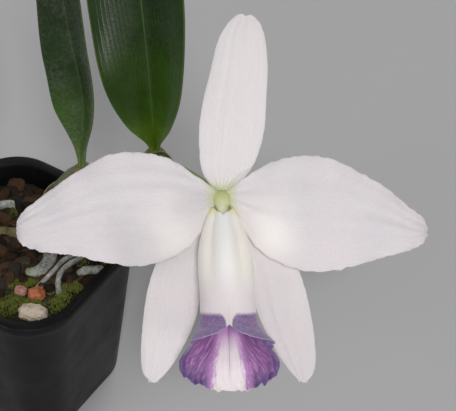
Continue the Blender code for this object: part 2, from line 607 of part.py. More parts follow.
def root_radii(count, radius):
    """A root's radius at each point: even, then drawn in over its last quarter."""
    share = np.linspace(0, 1, count)
    return MM * radius * np.minimum(1, 0.62 + 1.6 * (1 - share))


def roots_and_sockets(where, cutters):
    """Rhizome, roots, bulb feet and loose chunks, each with the hole that the mix leaves for it."""
    sockets = []
    silver = material("root_silver", (0.52, 0.55, 0.50), 0.7)
    for name, points, radius in ROOTS:
        line = root_points(points)
        radii = root_radii(len(line), radius)
        tube(name, line, radii, where, silver)
        hole = tube("hole_" + name, stretched(line), radii + CLEARANCE, cutters)
        sockets.append(mesh_from_curve(hole, cutters))
    creeping, thick = rhizome_line()
    hole = tube("hole_rhizome", stretched(creeping), thick + CLEARANCE, cutters)
    sockets.append(mesh_from_curve(hole, cutters))
    for name, size, place, turn, seed, colour in CHUNKS:
        chunk(name, size, place, turn, seed, colour, where)
        sockets.append(chunk("hole_" + name, size, place, turn, seed, None, cutters, CLEARANCE * 1.5))
    for piece in sockets:
        as_cutter(piece)
    return sockets


def stretched(line):
    """The same line, its two ends pushed out by one clearance, so a hole is deeper than what it holds."""
    longer = np.array(line)
    for end, inner in ((0, 1), (-1, -2)):
        outward = longer[end] - longer[inner]
        longer[end] += outward / np.linalg.norm(outward) * CLEARANCE
    return longer


def rhizome_line():
    """Points along the creeping stem that carries the pseudobulbs, with its radius at each."""
    creeping = along(MM * np.array(RHIZOME, float), np.linspace(0, 1, 21))
    return creeping, np.full(len(creeping), RHIZOME_RADIUS * MM)


def rhizome(where):
    creeping, thick = rhizome_line()
    return tube("rhizome", creeping, thick, where, material("rhizome", (0.20, 0.16, 0.08), 0.75))


def clear_scene():
    for piece in list(bpy.data.objects):
        bpy.data.objects.remove(piece)


def main():
    clear_scene()
    parts = collection("cattleya_orchid")
    cutters = collection("cutters")
    pot(parts, cutters)
    sockets = roots_and_sockets(parts, cutters)
    rhizome(parts)
    green = material("bulb_green", (0.17, 0.22, 0.07), 0.45)
    papery = material("dry_bract", (0.46, 0.38, 0.24), 0.8)
    for name, foot, top, bow, radius in BULBS:
        raised = (*foot, BULB_FOOT_LEVEL)
        pseudobulb(name, raised, top, bow, radius, parts, green)
        bract(name.replace("pseudobulb", "bract"), raised, top, bow, radius, parts, papery)
    leaf_green = material("leaf_green", (0.035, 0.10, 0.02), 0.3)
    for name, base, line, half_widths, turn in LEAVES:
        leaf(name, base, line, half_widths, turn, parts, leaf_green)
    growing_medium(parts, cutters, sockets)
    bloom(parts)


main()
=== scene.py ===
"""The looks of a potted cattleya orchid with one open bloom, in metres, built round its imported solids."""
import json
import math

import bpy
import numpy as np
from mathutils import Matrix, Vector

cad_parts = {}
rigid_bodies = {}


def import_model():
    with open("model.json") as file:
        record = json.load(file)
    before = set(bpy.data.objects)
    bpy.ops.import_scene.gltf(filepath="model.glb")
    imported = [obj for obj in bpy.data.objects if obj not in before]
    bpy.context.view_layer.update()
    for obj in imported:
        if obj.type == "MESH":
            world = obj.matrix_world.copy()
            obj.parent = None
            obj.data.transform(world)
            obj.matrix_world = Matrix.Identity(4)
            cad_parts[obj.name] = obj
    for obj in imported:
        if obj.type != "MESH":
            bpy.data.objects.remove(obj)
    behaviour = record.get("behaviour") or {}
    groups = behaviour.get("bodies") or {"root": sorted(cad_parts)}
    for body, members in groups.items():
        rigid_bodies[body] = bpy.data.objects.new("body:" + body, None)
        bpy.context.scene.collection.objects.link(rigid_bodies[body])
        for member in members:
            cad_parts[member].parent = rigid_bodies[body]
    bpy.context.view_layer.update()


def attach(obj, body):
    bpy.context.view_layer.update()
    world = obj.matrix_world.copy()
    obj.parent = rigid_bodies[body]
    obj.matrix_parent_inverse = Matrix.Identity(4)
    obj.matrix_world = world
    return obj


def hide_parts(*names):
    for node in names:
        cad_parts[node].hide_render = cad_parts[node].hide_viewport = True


for startup in list(bpy.data.objects):
    bpy.data.objects.remove(startup)
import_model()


# The pot is injection-moulded black polypropylene: a rounded square, tapered so that it nests, with a rolled
# rim and four drain holes through its floor. It carries no markings.
MM = 0.001
POT_HEIGHT = 80.0
POT_TURN = math.radians(-33)
POT_FOOT_HALF = 28.0
POT_TOP_HALF = 37.2
CORNER_SHARE = 0.51
POT_PROFILE = (
    # half side, height: up the outside, over the rim and down the inside, in millimetres
    (26.6, 0.0), (27.3, 0.1), (27.8, 0.5), (28.1, 1.3), (29.4, 12.0), (31.6, 31.0), (33.9, 51.0),
    (35.9, 68.5), (36.6, 74.4), (36.9, 75.2), (37.6, 75.5), (39.3, 75.6), (39.8, 75.9), (40.0, 76.5),
    (40.0, 78.7), (39.8, 79.5), (39.3, 79.9), (38.6, 80.0), (36.6, 80.0), (36.0, 79.8), (35.7, 79.3),
    (35.5, 78.0), (33.2, 56.0), (30.2, 30.0), (27.2, 4.0), (26.6, 2.6), (25.6, 2.2),
)
DRAIN_RADIUS = 3.5
DRAIN_FROM_MIDDLE = 17.0
DRAIN_CUT = 10.0
SHARP_ANGLE = math.radians(38)
BLACK = (0.0045, 0.0045, 0.005)
DUST = (0.040, 0.037, 0.033)


def spun(x, y, angle):
    """x and y turned by an angle about the axis square to both."""
    return x * np.cos(angle) - y * np.sin(angle), x * np.sin(angle) + y * np.cos(angle)


def rounded_square(half, height, per_corner=14, per_side=10):
    """A level ring of points: four quarter circles joined by straight sides, turned with the pot."""
    corner = half * CORNER_SHARE
    straight = half - corner
    turns = np.linspace(0, math.pi / 2, per_corner)
    shares = np.arange(1, per_side) / per_side
    x = np.concatenate([straight + corner * np.cos(turns), straight * (1 - 2 * shares)])
    y = np.concatenate([straight + corner * np.sin(turns), 0 * shares + half])
    x, y = np.concatenate([spun(x, y, POT_TURN + quarter * math.pi / 2) for quarter in range(4)], axis=1)
    return np.stack([x, y, np.full(len(x), float(height))], -1)


def new_object(name, data):
    """An object of the scene."""
    made = bpy.data.objects.new(name, data)
    bpy.context.scene.collection.objects.link(made)
    return made


def keep(mesh, name, parts, source=slice(None)):
    """Keeps three numbers at each point of a mesh. source is the grid point that each one came from."""
    numbers = np.stack(np.broadcast_arrays(*parts), -1).reshape(-1, 3)[source]
    stored = mesh.attributes.new(name, "FLOAT_VECTOR", "POINT")
    stored.data.foreach_set("vector", numbers.astype(np.float32).ravel())


def add_piece(name, points, faces, finish, nodes=(), place=None):
    """A mesh from points in millimetres. It rides on the plant's one body and stands for the named solids.
    place is what its finish reads at each point: three numbers that follow the surface."""
    mesh = bpy.data.meshes.new(name)
    mesh.from_pydata((np.reshape(points, (-1, 3)) * MM).tolist(), [], faces)
    if place is not None:
        keep(mesh, "place", place)
    mesh.shade_smooth()
    mesh.materials.append(finish)
    made = new_object(name, mesh)
    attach(made, "root")
    if nodes:
        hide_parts(*nodes)
    return made


def add_rings(name, rings, finish, nodes, place=None):
    """A closed body: quads between following rings, and a many-sided cap on each end."""
    count, around = np.shape(rings)[:2]
    index = np.arange(count * around).reshape(count, around)
    following = np.roll(index, -1, axis=1)
    sides = np.stack([index[:-1], following[:-1], following[1:], index[1:]], -1).reshape(-1, 4)
    faces = [*sides.tolist(), index[0, ::-1].tolist(), index[-1].tolist()]
    return add_piece(name, rings, faces, finish, nodes, place)


def fill(socket, value):
    """Links a socket to another node's output, or sets it to a plain value. A colour has three numbers."""
    if isinstance(value, bpy.types.NodeSocket):
        socket.id_data.links.new(value, socket)
    else:
        socket.default_value = (*value, 1) if socket.type == "RGBA" else value


class Nodes:
    """The shader nodes of one tree. Each method adds a node and gives what comes out of it."""

    def __init__(self, tree):
        self.tree = tree

    def put(self, kind, inputs=None, **settings):
        """A node of any kind, and all its outputs."""
        made = self.tree.nodes.new("ShaderNode" + kind)
        for key, value in settings.items():
            setattr(made, key, value)
        for key, value in (inputs or {}).items():
            fill(made.inputs[key], value)
        return made.outputs

    def math(self, operation, *values):
        """A calculation on one to three values."""
        return self.put("Math", dict(enumerate(values)), operation=operation)[0]

    def times(self, first, second):
        """A product."""
        return self.math("MULTIPLY", first, second)

    def ramp(self, value, *stops):
        """A colour ramp from (place, colour) stops. A plain number as the colour gives that grey."""
        ramped = self.put("ValToRGB", {"Fac": value})[0]
        points = ramped.node.color_ramp.elements
        while len(points) < len(stops):
            points.new(0.5)
        for point, (spot, colour) in zip(points, stops):
            point.position = spot
            point.color = (*colour, 1) if isinstance(colour, tuple) else (colour, colour, colour, 1)
        return ramped

    def mix(self, share, low, high, blend="MIX"):
        """Two colours mixed by a share from 0 to 1."""
        return self.put("Mix", {0: share, 6: low, 7: high}, data_type="RGBA", blend_type=blend)[2]

    def spot(self, x, y, z=0.0):
        """A point from three values, for a texture to be read at."""
        return self.put("CombineXYZ", {0: x, 1: y, 2: z})[0]

    def noise(self, scale, detail=4.0, roughness=0.55, distortion=0.0, where=None):
        """Noise at a point, or else in the object's own coordinates."""
        sockets = {"Vector": where or self.put("TexCoord")["Object"], "Scale": scale, "Detail": detail,
                   "Roughness": roughness, "Distortion": distortion}
        return self.put("TexNoise", sockets)[0]

    def cell_distance(self, scale):
        """Distance from the middles of scattered cells, in the object's own coordinates."""
        return self.put("TexVoronoi", {"Vector": self.put("TexCoord")["Object"], "Scale": scale})["Distance"]

    def bump(self, height, distance, strength=1.0, **under):
        """A bumped normal, on top of another one if it is given as Normal."""
        return self.put("Bump", {"Height": height, "Distance": distance, "Strength": strength, **under})[0]

    def place(self, name="place"):
        """The three numbers kept at each point of this surface."""
        return self.put("SeparateXYZ", {0: self.put("Attribute", attribute_name=name)["Vector"]})


class Look(Nodes):
    """A finish: one Principled shader, with plain numbers on its own sockets, and the nodes that feed it."""

    def __init__(self, name, **sockets):
        self.material = bpy.data.materials.new(name)
        self.material.use_nodes = True
        super().__init__(self.material.node_tree)
        self.feed(**sockets)

    def feed(self, **sockets):
        """Sets or links the shader's sockets, and gives the material."""
        shader = self.tree.nodes["Principled BSDF"]
        for name, value in sockets.items():
            fill(shader.inputs[name.replace("_", " ").title().replace("Ior", "IOR")], value)
        return self.material


def black_plastic():
    """Near-black plastic with dried water marks and dust, duller where it lies."""
    look = Look("black_plastic", specular_ior_level=0.24)
    marks = look.ramp(look.noise(46, 6, 0.62, 0.4), (0.52, 0.0), (0.80, 0.40))
    return look.feed(base_color=look.mix(marks, BLACK, DUST),
                     roughness=look.ramp(look.noise(90), (0.3, 0.30), (0.7, 0.48)),
                     normal=look.bump(look.noise(1400, 2), 0.00003, 0.5))


def cut_drains(piece):
    """Four drain holes near the corners of the floor, cut and then applied."""
    for quarter in range(4):
        x, y = spun(DRAIN_FROM_MIDDLE * MM, 0, POT_TURN + (quarter + 0.5) * math.pi / 2)
        bpy.ops.mesh.primitive_cylinder_add(vertices=32, radius=DRAIN_RADIUS * MM, depth=DRAIN_CUT * MM,
                                            location=(x, y, 0))
        cutter = bpy.context.object
        hole = piece.modifiers.new("drain", "BOOLEAN")
        hole.operation = "DIFFERENCE"
        hole.object = cutter
        mesh = bpy.data.meshes.new_from_object(piece.evaluated_get(bpy.context.evaluated_depsgraph_get()))
        piece.modifiers.clear()
        piece.data = mesh
        bpy.data.objects.remove(cutter)


pot_rings = [rounded_square(half, height) for half, height in POT_PROFILE]
pot_piece = add_rings("pot_shell", pot_rings, black_plastic(), ["pot"])
cut_drains(pot_piece)
pot_piece.data.set_sharp_from_angle(angle=SHARP_ANGLE)


# The potting mix is coarse fir bark with a little charcoal: a dark bed of fines that fills the pot, and loose
# chips lying on it every way up, their grain running along them.
MIX_LEVEL = 71.5
MIX_SHRINK = 2.0
MIX_SIDE_LEVELS = (2.6, 20, 45, 66, 70)
MIX_TOP_SHARES = (*np.linspace(1, 0.9, 4)[1:], *np.linspace(0.87, 0.02, 34))
CHIP_COUNT = 270
CHIP_GRID = 4
CHIP_HALF_SIZES = ((2.2, 6.0), (1.5, 3.6), (0.7, 1.9))
CHIP_TURNS = ((-0.55, 0.55), (-0.45, 0.45), (0, 6.3))
CHIP_FROM_EDGE = 6.3
CHIP_FROM_LUMP = 3.5
BARK = ((0.0, (0.014, 0.009, 0.005)), (0.35, (0.050, 0.027, 0.013)), (0.65, (0.105, 0.053, 0.025)),
        (0.85, (0.085, 0.065, 0.045)), (1.0, (0.014, 0.012, 0.011)))
CHUNKS = (
    # name, node, slot, size, place, turn, pit size, seed
    ("brick_lump", "brick_chunk", "brick", (7.6, 6.6, 5.4), (7.6, -24.4, 74.2), 0.35, 2.2, 3),
    ("small_brick_lump", "small_brick_chunk", "pale_brick", (4.1, 5.5, 4.1), (1.2, -22.2, 74.0), 1.2, 1.8, 5),
    ("cream_stone", "pale_stone", "pale_stone", (12.6, 7.8, 6.5), (6.8, -33.2, 73.6), -0.25, 3.4, 8),
)
rng = np.random.default_rng(7)


def lumps(x, y, size, seed):
    """An uneven height from about -1 to 1: a quarter of the sum of nine seeded waves about size long."""
    waves = np.random.default_rng(seed).uniform(0, 1, (9, 3))
    total = 0
    for turn, length, phase in waves:
        angle, pace = 2 * math.pi * turn, 2 * math.pi / (size * (0.6 + 0.9 * length))
        total = total + np.sin(pace * (x * math.cos(angle) + y * math.sin(angle)) + 2 * math.pi * phase)
    return total / 4


def mix_half(height):
    """Half the side of the mix at a height, which follows the pot's taper."""
    return POT_FOOT_HALF + (POT_TOP_HALF - POT_FOOT_HALF) * height / POT_HEIGHT - MIX_SHRINK


def mix_height(x, y):
    """The bed's top: two sizes of lumps on the mean level."""
    return MIX_LEVEL + 0.9 * lumps(x, y, 17, 1) + 0.45 * lumps(x, y, 5, 2)


def mix_finish():
    """Dark crumbly fines, a little greener where moss has started."""
    look = Look("potting_mix", roughness=0.95, specular_ior_level=0.2)
    crumbs = look.noise(420, 8, 0.7)
    dark = look.ramp(crumbs, (0.3, (0.010, 0.007, 0.004)), (0.75, (0.075, 0.045, 0.024)))
    green = look.ramp(look.noise(60, 3), (0.50, 0.0), (0.64, 0.7))
    return look.feed(base_color=look.mix(green, dark, (0.030, 0.048, 0.010)),
                     normal=look.bump(crumbs, 0.0012))


def bark_finish():
    """Bark of many browns, one to a chip, with streaks of grain along it. place is grain, streak, tint."""
    look = Look("bark", roughness=0.85, specular_ior_level=0.25)
    grain, streak, tint = look.place()
    fibres = look.noise(1.3, 5, 0.5, where=look.spot(look.times(grain, 0.5), look.times(streak, 5.0), tint))
    worn = look.ramp(fibres, (0.32, 0.28), (0.68, 1.15))
    return look.feed(base_color=look.mix(1.0, look.ramp(tint, *BARK), worn, "MULTIPLY"),
                     normal=look.bump(fibres, 0.0006, 0.9))


mix_rings = [rounded_square(mix_half(level), level) for level in MIX_SIDE_LEVELS]
for share in MIX_TOP_SHARES:
    ring = rounded_square(mix_half(MIX_LEVEL) * share, MIX_LEVEL)
    ring[:, 2] = mix_height(ring[:, 0], ring[:, 1])
    mix_rings.append(ring)
add_rings("mix_bed", mix_rings, mix_finish(), ["growing_medium"])


def box_grid(steps):
    """A cube from -1 to 1 as a grid on each face, its shared edges welded: points, quads."""
    line = np.linspace(-1, 1, steps + 1)
    u, v = (side.ravel() for side in np.meshgrid(line, line, indexing="ij"))
    one = np.ones(len(u))
    sides = [np.stack(corner, -1) for corner in
             ((u, v, one), (v, u, -one), (one, u, v), (-one, v, u), (v, one, u), (u, -one, v))]
    index = np.arange((steps + 1) ** 2).reshape(steps + 1, steps + 1)
    quads = np.stack([index[:-1, :-1], index[1:, :-1], index[1:, 1:], index[:-1, 1:]], -1).reshape(-1, 4)
    points, welded = np.unique(np.round(np.concatenate(sides), 6), axis=0, return_inverse=True)
    faces = np.concatenate([quads + side * len(u) for side in range(6)])
    return points, welded.reshape(-1)[faces]


def draws(ranges, count):
    """Seeded values between limits, a row of them for each pair of limits."""
    return np.array([rng.uniform(low, high, count) for low, high in ranges])


def turned_about(points, tilt, lean, spin):
    """Turns each piece's points about x, then y, then z. The angles are one to a piece."""
    x, y, z = np.moveaxis(points, -1, 0)
    y, z = spun(y, z, tilt[:, None])
    z, x = spun(z, x, lean[:, None])
    x, y = spun(x, y, spin[:, None])
    return np.stack([x, y, z], -1)


def bark_chips(count):
    """Chips as boxes drawn in toward rounded ends, tapered and bent by seeded shares, lying on the bed."""
    cube, quads = box_grid(CHIP_GRID)
    reach = mix_half(MIX_LEVEL) - CHIP_FROM_EDGE
    x, y = spun(*rng.uniform(-reach, reach, (count, 2)).T, POT_TURN)
    size = draws(CHIP_HALF_SIZES, count).T
    rounding = 1 - 0.13 * (cube ** 2).sum(1) / 3 * (np.abs(cube) > 0.99).sum(1)
    local = cube * rounding[:, None] * size[:, None]
    local[..., 1] *= 1 + rng.uniform(-0.3, 0.3, count)[:, None] * cube[:, 0]
    local[..., 2] += 0.28 * rng.uniform(-1, 1, count)[:, None] * cube[:, 0] ** 2 * size[:, 2:]
    rough = lumps(local[..., 0] + 9 * x[:, None], local[..., 1] * 3 + 9 * y[:, None], 2.2, 4)
    local += 0.16 * rough[..., None]
    world = turned_about(local, *draws(CHIP_TURNS, count))
    height = mix_height(x, y) + rng.uniform(-0.4, 1.9, count)
    # none lies on the loose lumps: those that would are pressed down under them
    gaps = [np.hypot(x - spot[0], y - spot[1]) - max(wide[:2]) / 2 for _, _, _, wide, spot, *_ in CHUNKS]
    height -= np.clip(CHIP_FROM_LUMP - np.min(gaps, axis=0), 0, CHIP_FROM_LUMP)
    world += np.stack([x, y, height], -1)[:, None]
    faces = (quads + (np.arange(count) * len(cube))[:, None, None]).reshape(-1, 4).tolist()
    return world, faces, (local[..., 0], local[..., 1], rng.uniform(0, 1, count)[:, None])


chip_points, chip_faces, chip_place = bark_chips(CHIP_COUNT)
add_piece("bark_chips", chip_points, chip_faces, bark_finish(), place=chip_place)


# Moss has grown on the mix beside the stone and in the corners: cushions of short pointed shoots, each one
# a small bent spike.
MOSS_CUSHIONS = (
    # x, y, reach, shoots
    (6.5, -29.2, 4.2, 620), (13.5, -29.0, 4.6, 520), (14.5, -20.5, 4.2, 520), (-2.5, -19.5, 4.6, 520),
    (20.5, -20.5, 4.0, 380), (5.0, -17.2, 3.2, 300), (-18.0, -15.0, 5.2, 520), (-8.0, 23.0, 5.2, 520),
    (16.0, 18.0, 5.2, 520), (25.5, -8.0, 3.4, 260), (0.2, -27.2, 3.0, 300), (-12.0, -22.0, 3.6, 300),
    (-3.6, -29.6, 4.4, 520), (-7.0, -25.4, 4.0, 420), (10.5, -17.5, 2.6, 240), (17.0, -26.0, 3.0, 260),
)
# a shoot's points are three round its foot, three round its waist and one tip: a triangle repeats its last
SHOOT_FACES = np.array([(0, 1, 4, 3), (1, 2, 5, 4), (2, 0, 3, 5),
                        (3, 4, 6, 6), (4, 5, 6, 6), (5, 3, 6, 6), (0, 2, 1, 1)])


def moss_finish():
    """Dark at the foot and yellow-green at the tips of the shoots. place is height share, tint, 0."""
    look = Look("moss", roughness=0.75, specular_ior_level=0.3)
    height, tint, _ = look.place()
    green = look.ramp(height, (0.0, (0.014, 0.024, 0.004)), (1.0, (0.145, 0.200, 0.026)))
    return look.feed(base_color=look.mix(look.times(tint, 0.6), green, (0.235, 0.220, 0.045)))


def moss_shoots():
    """Spikes with a three-cornered foot and waist and one tip, leaning out from their cushion's middle."""
    rows = []
    for middle_x, middle_y, reach, count in MOSS_CUSHIONS:
        away = np.sqrt(rng.uniform(0, 1, count))
        turn = rng.uniform(0, 2 * math.pi, count)
        out_x, out_y = away * np.cos(turn), away * np.sin(turn)
        rows.append([middle_x + reach * out_x, middle_y + reach * out_y, out_x, out_y, 1 - away ** 2])
    x, y, out_x, out_y, dome = np.concatenate(rows, axis=1)
    count = len(x)
    foot = np.stack([x, y, mix_height(x, y) - 0.2 + 2.1 * dome], -1)
    tall = rng.uniform(0.9, 1.9, count)[:, None]
    lean = np.stack([out_x, out_y, np.ones(count)], -1) * 0.5 + rng.uniform(-0.35, 0.35, (count, 3))
    lean[:, 2] = 1
    corners = np.arange(3) * 2 * math.pi / 3 + rng.uniform(0, 2, count)[:, None]
    ring = np.stack([np.cos(corners), np.sin(corners), 0 * corners], -1)
    ring *= rng.uniform(0.16, 0.30, count)[:, None, None]
    waist = (foot + lean * tall * 0.45)[:, None] + ring * 0.95
    tip = (foot + lean * tall * np.array([1.35, 1.35, 1.0]))[:, None]
    points = np.concatenate([foot[:, None] + ring, waist, tip], 1)
    faces = (SHOOT_FACES + (np.arange(count) * 7)[:, None, None]).reshape(-1, 4).tolist()
    faces = [face if face[2] != face[3] else face[:3] for face in faces]
    return points, faces, (np.array([0, 0, 0, 0.5, 0.5, 0.5, 1.0]), rng.uniform(0, 1, count)[:, None], 0.0)


moss_points, moss_faces, moss_place = moss_shoots()
add_piece("moss", moss_points, moss_faces, moss_finish(), place=moss_place)


# Loose lumps on the mix: two crumbs of soft brick and one pale stone, worn round, with pits and stains.
CHUNK_GRID = 14
CHUNK_COLOURS = {
    # fresh, worn, stain
    "brick": ((0.50, 0.125, 0.045), (0.62, 0.27, 0.14), (0.10, 0.045, 0.02)),
    "pale_brick": ((0.50, 0.24, 0.19), (0.62, 0.42, 0.36), (0.14, 0.07, 0.05)),
    "pale_stone": ((0.66, 0.56, 0.42), (0.74, 0.60, 0.52), (0.20, 0.15, 0.08)),
}


def lump_finish(name, fresh, worn, stain):
    """A fired or stony body with paler rubbed places, dark pits and damp stains."""
    look = Look(name, roughness=0.9, specular_ior_level=0.25)
    body = look.mix(look.ramp(look.noise(260, 5), (0.42, 0.0), (0.66, 1.0)), fresh, worn)
    damp = look.ramp(look.noise(190, 6, 0.7), (0.52, 0.0), (0.72, 0.85))
    pits = look.ramp(look.cell_distance(620), (0.0, 0.0), (0.45, 1.0))
    return look.feed(base_color=look.mix(damp, body, stain),
                     normal=look.bump(look.math("ADD", pits, look.noise(900, 6, 0.7)), 0.0004))


def unit(vectors):
    """Vectors drawn out or in to a length of one."""
    return vectors / np.maximum(np.linalg.norm(vectors, axis=-1, keepdims=True), 1e-9)


cube, quads = box_grid(CHUNK_GRID)
ball = unit(cube)
for name, node, slot, size, spot, turn, pit, seed in CHUNKS:
    # a cube drawn most of the way to a ball, stretched to its size, with lumps and flats pressed in
    x, y, z = 5 * ball.T
    dent = 1 + 0.07 * lumps(x + seed, y + 0.8 * z, pit, seed)
    dent += 0.03 * lumps(y, z - 0.8 * x, pit / 3, seed + 1)
    x, y, z = (0.62 * ball + 0.88 * 0.38 * cube).T * dent * np.reshape(size, (3, 1)) * 0.47
    shaped = np.stack([*spun(x, y, turn), z], -1) + spot
    add_piece(name, shaped, quads.tolist(), lump_finish(slot, *CHUNK_COLOURS[slot]), [node])


# Roots and the creeping stem. Roots wear a spongy silver coat that cracks where they bend, and the creeping
# stem is brown and ringed with the scars of old scales.
ROOTS = (
    # name, half width, flattening, points
    ("root_1", 2.6, 0.55, ((11.5, 0.4, 75.2), (11.6, -4.2, 76.0), (10.6, -9.4, 76.0), (7.0, -13.2, 75.4),
                           (2.4, -12.8, 75.0))),
    ("root_2", 0.95, 1.0, ((20.6, -4.3, 75.0), (17.0, -8.0, 76.2), (13.2, -14.0, 76.2), (9.9, -17.8, 75.0),
                           (6.6, -19.0, 71.0), (5.0, -19.4, 65.5))),
    ("root_3", 1.05, 1.0, ((24.0, -6.0, 75.6), (19.4, -11.2, 77.4), (16.0, -16.2, 77.0), (15.6, -21.2, 74.4),
                           (16.4, -24.4, 69.0), (17.0, -25.4, 64.5))),
    ("root_4", 1.7, 1.0, ((31.6, -11.9, 75.0), (29.4, -13.4, 76.4), (26.2, -13.6, 76.4),
                          (22.4, -14.3, 75.2))),
    ("root_5", 1.8, 1.0, ((-19.0, 13.6, 75.0), (-15.4, 19.6, 76.0), (-7.6, 23.8, 75.0), (0.6, 24.4, 70.0),
                          (3.0, 24.6, 65.0))),
)
ROOT_RINGS = 90
ROOT_SIDES = 36
RHIZOME = ((-33, -13.5, 74.0), (-27, -8.6, 74.0), (-14.6, 8.0, 74.0), (7.2, 5.6, 74.0), (29.4, -2.8, 74.0),
           (34.5, -6.4, 73.6))
RHIZOME_RADIUS = 2.6
RHIZOME_RINGS = 220
RHIZOME_SIDES = 32
RHIZOME_SCARS = 21


def climb(value, start, length):
    """0 before start, then an even climb to 1 over length. A negative length climbs toward smaller values."""
    return np.clip((value - start) / length, 0, 1)


def column(count):
    """Shares from 0 to 1 as a column, one to a row of a grid."""
    return np.linspace(0, 1, count)[:, None]


def ring_angles(count):
    """Even turns round a ring."""
    return np.arange(count) * 2 * math.pi / count


def along(knots, shares):
    """A smooth curve through evenly numbered knots (Catmull-Rom), read at shares of its length in knots. It
    gives a row for each share, with all the numbers of a knot side by side."""
    knots = np.reshape(knots, (len(knots), -1)).astype(float)
    places = np.ravel(shares) * (len(knots) - 1)
    padded = np.concatenate([[2 * knots[0] - knots[1]], knots, [2 * knots[-1] - knots[-2]]])
    index = np.clip(np.floor(places).astype(int), 0, len(knots) - 2)
    f = (places - index)[:, None]
    p0, p1, p2, p3 = (padded[index + i] for i in range(4))
    return p1 + 0.5 * f * (p2 - p0 + f * (2 * p0 - 5 * p1 + 4 * p2 - p3 + f * (3 * (p1 - p2) + p3 - p0)))


def frames_along(path):
    """Two crosswise unit vectors at each point of a path, carried along it without twist."""
    tangents = unit(np.gradient(path, axis=0))
    side = np.cross(tangents[0], (0, 0, 1) if abs(tangents[0][2]) < 0.9 else (0, 1, 0))
    sides = []
    for tangent in tangents:
        side = unit(side - tangent * side.dot(tangent))
        sides.append(side)
    return np.array(sides), np.cross(tangents, sides)


def wrapped(centre, side, second, turn, radius):
    """Points round a line: one crosswise vector times cosine plus the other times sine, times the radius."""
    turn = turn[..., None]
    return centre + radius[..., None] * (np.cos(turn) * side + np.sin(turn) * second)


def add_tube(name, path, girth, around, finish, nodes, place, flat=1.0, level_foot=False):
    """A closed body of rings round a path. girth is the radius of each ring or of each of its points. flat
    draws the rings toward the path's own level."""
    sides, seconds = frames_along(path)
    rings = wrapped(path[:, None], sides[:, None], seconds[:, None], ring_angles(around), girth)
    level = path[:, None, 2]
    rings[..., 2] = level + (rings[..., 2] - level) * flat
    if level_foot:
        rings[0, :, 2] = path[0, 2]
    everywhere = np.zeros(rings.shape[:2])
    add_rings(name, rings, finish, nodes, [part + everywhere for part in place])


def root_finish():
    """Silver-grey coat, streaked and cracked, greener toward the tip. place is share along, streak, 0."""
    look = Look("root_coat", roughness=0.75, specular_ior_level=0.3)
    share, streak, _ = look.place()
    mottled = look.noise(330, 6, 0.65)
    coat = look.ramp(mottled, (0.28, (0.115, 0.11, 0.08)), (0.48, (0.33, 0.34, 0.31)),
                     (0.72, (0.60, 0.61, 0.58)))
    green = look.ramp(share, (0.78, 0.0), (0.97, 0.8))
    return look.feed(base_color=look.mix(green, coat, (0.20, 0.26, 0.09)),
                     normal=look.bump(look.math("ADD", mottled, streak), 0.00035))


def rounded_off(share, start, length, least):
    """A girth that falls as a quarter ellipse past start, down to the root of least."""
    return np.sqrt(np.clip(1 - climb(share, start, length) ** 2, least, 1))


root_coat = root_finish()
share = column(ROOT_RINGS)
x, y = np.cos(ring_angles(ROOT_SIDES)), np.sin(ring_angles(ROOT_SIDES))
streak = 0.5 + 0.5 * lumps(4 * x + 0.4 * share, 4 * y + 30 * share, 1.6, 21)
knobbly = 1 + 0.05 * lumps(3 * x + 40 * share, 3 * y + 0 * share, 5, 22)
for name, radius, flat, points in ROOTS:
    # full width over most of the length, drawn in toward the tip and rounded over there
    width = radius * np.minimum(1, 0.62 + 1.6 * (1 - share)) * rounded_off(share, 0.96, 0.045, 0.02)
    add_tube(f"silver_{name}", along(points, share), width * knobbly, ROOT_SIDES, root_coat,
             [name], (share, streak, 0.0), flat)


def rhizome_finish():
    """Brown corky skin with darker ring scars. place is ring scar, 0, 0."""
    look = Look("creeping_stem", roughness=0.8, specular_ior_level=0.25)
    scar, _, _ = look.place()
    skin = look.ramp(look.noise(240, 6, 0.65), (0.3, (0.075, 0.055, 0.022)), (0.7, (0.21, 0.165, 0.075)))
    return look.feed(base_color=look.mix(scar, skin, (0.045, 0.028, 0.014)),
                     normal=look.bump(look.noise(700, 5), 0.0004))


share = column(RHIZOME_RINGS)
# a ring scar every few millimetres: the radius swells slowly and steps back
scar_phase = (share * RHIZOME_SCARS) % 1
blunt_ends = np.sqrt(np.clip(1 - climb(np.abs(2 * share - 1), 0.97, 0.03), 0.05, 1))
girth = RHIZOME_RADIUS * (0.90 + 0.10 * scar_phase) * blunt_ends
add_tube("creeping_stem", along(RHIZOME, share), girth, RHIZOME_SIDES, rhizome_finish(),
         ["rhizome"], (climb(scar_phase, 0.16, -0.16), 0.0, 0.0))


# Pseudobulbs: the club-shaped storage stems, one for each year's growth, ribbed lengthwise as they age and
# ringed where their bracts were joined. The two oldest are yellower and more deeply shrunk.
BULBS = (
    # number, foot, top, sideways bow, thickest radius, age
    (1, (29.4, -2.8), (57.0, -45.6, 167.6), (3.0, 5.0), 7.6, 0.0),
    (2, (7.2, 5.6), (29.4, -20.4, 136.6), (2.0, 4.0), 7.0, 0.3),
    (3, (-14.6, 8.0), (-27.0, 16.0, 128.0), (-3.0, 1.0), 6.6, 0.65),
    (4, (-27.0, -8.6), (-35.5, -16.5, 112.0), (-2.0, -1.0), 5.2, 1.0),
)
BULB_FOOT_LEVEL = 76.9
BULB_SHARES = (0.0, 0.05, 0.16, 0.34, 0.54, 0.74, 0.88, 0.96, 1.0)
BULB_SHAPE = (0.40, 0.52, 0.66, 0.90, 1.0, 0.84, 0.62, 0.52, 0.47)
BULB_FURROWS = 7
BULB_FURROW_DEPTH = 0.07
BULB_JOINTS = (0.16, 0.36, 0.58, 0.80)
BULB_RINGS = 120
BULB_SIDES = 98


def hill(value, middle, width):
    """A smooth bell of height 1 round a middle."""
    return np.exp(-((value - middle) / width) ** 2)


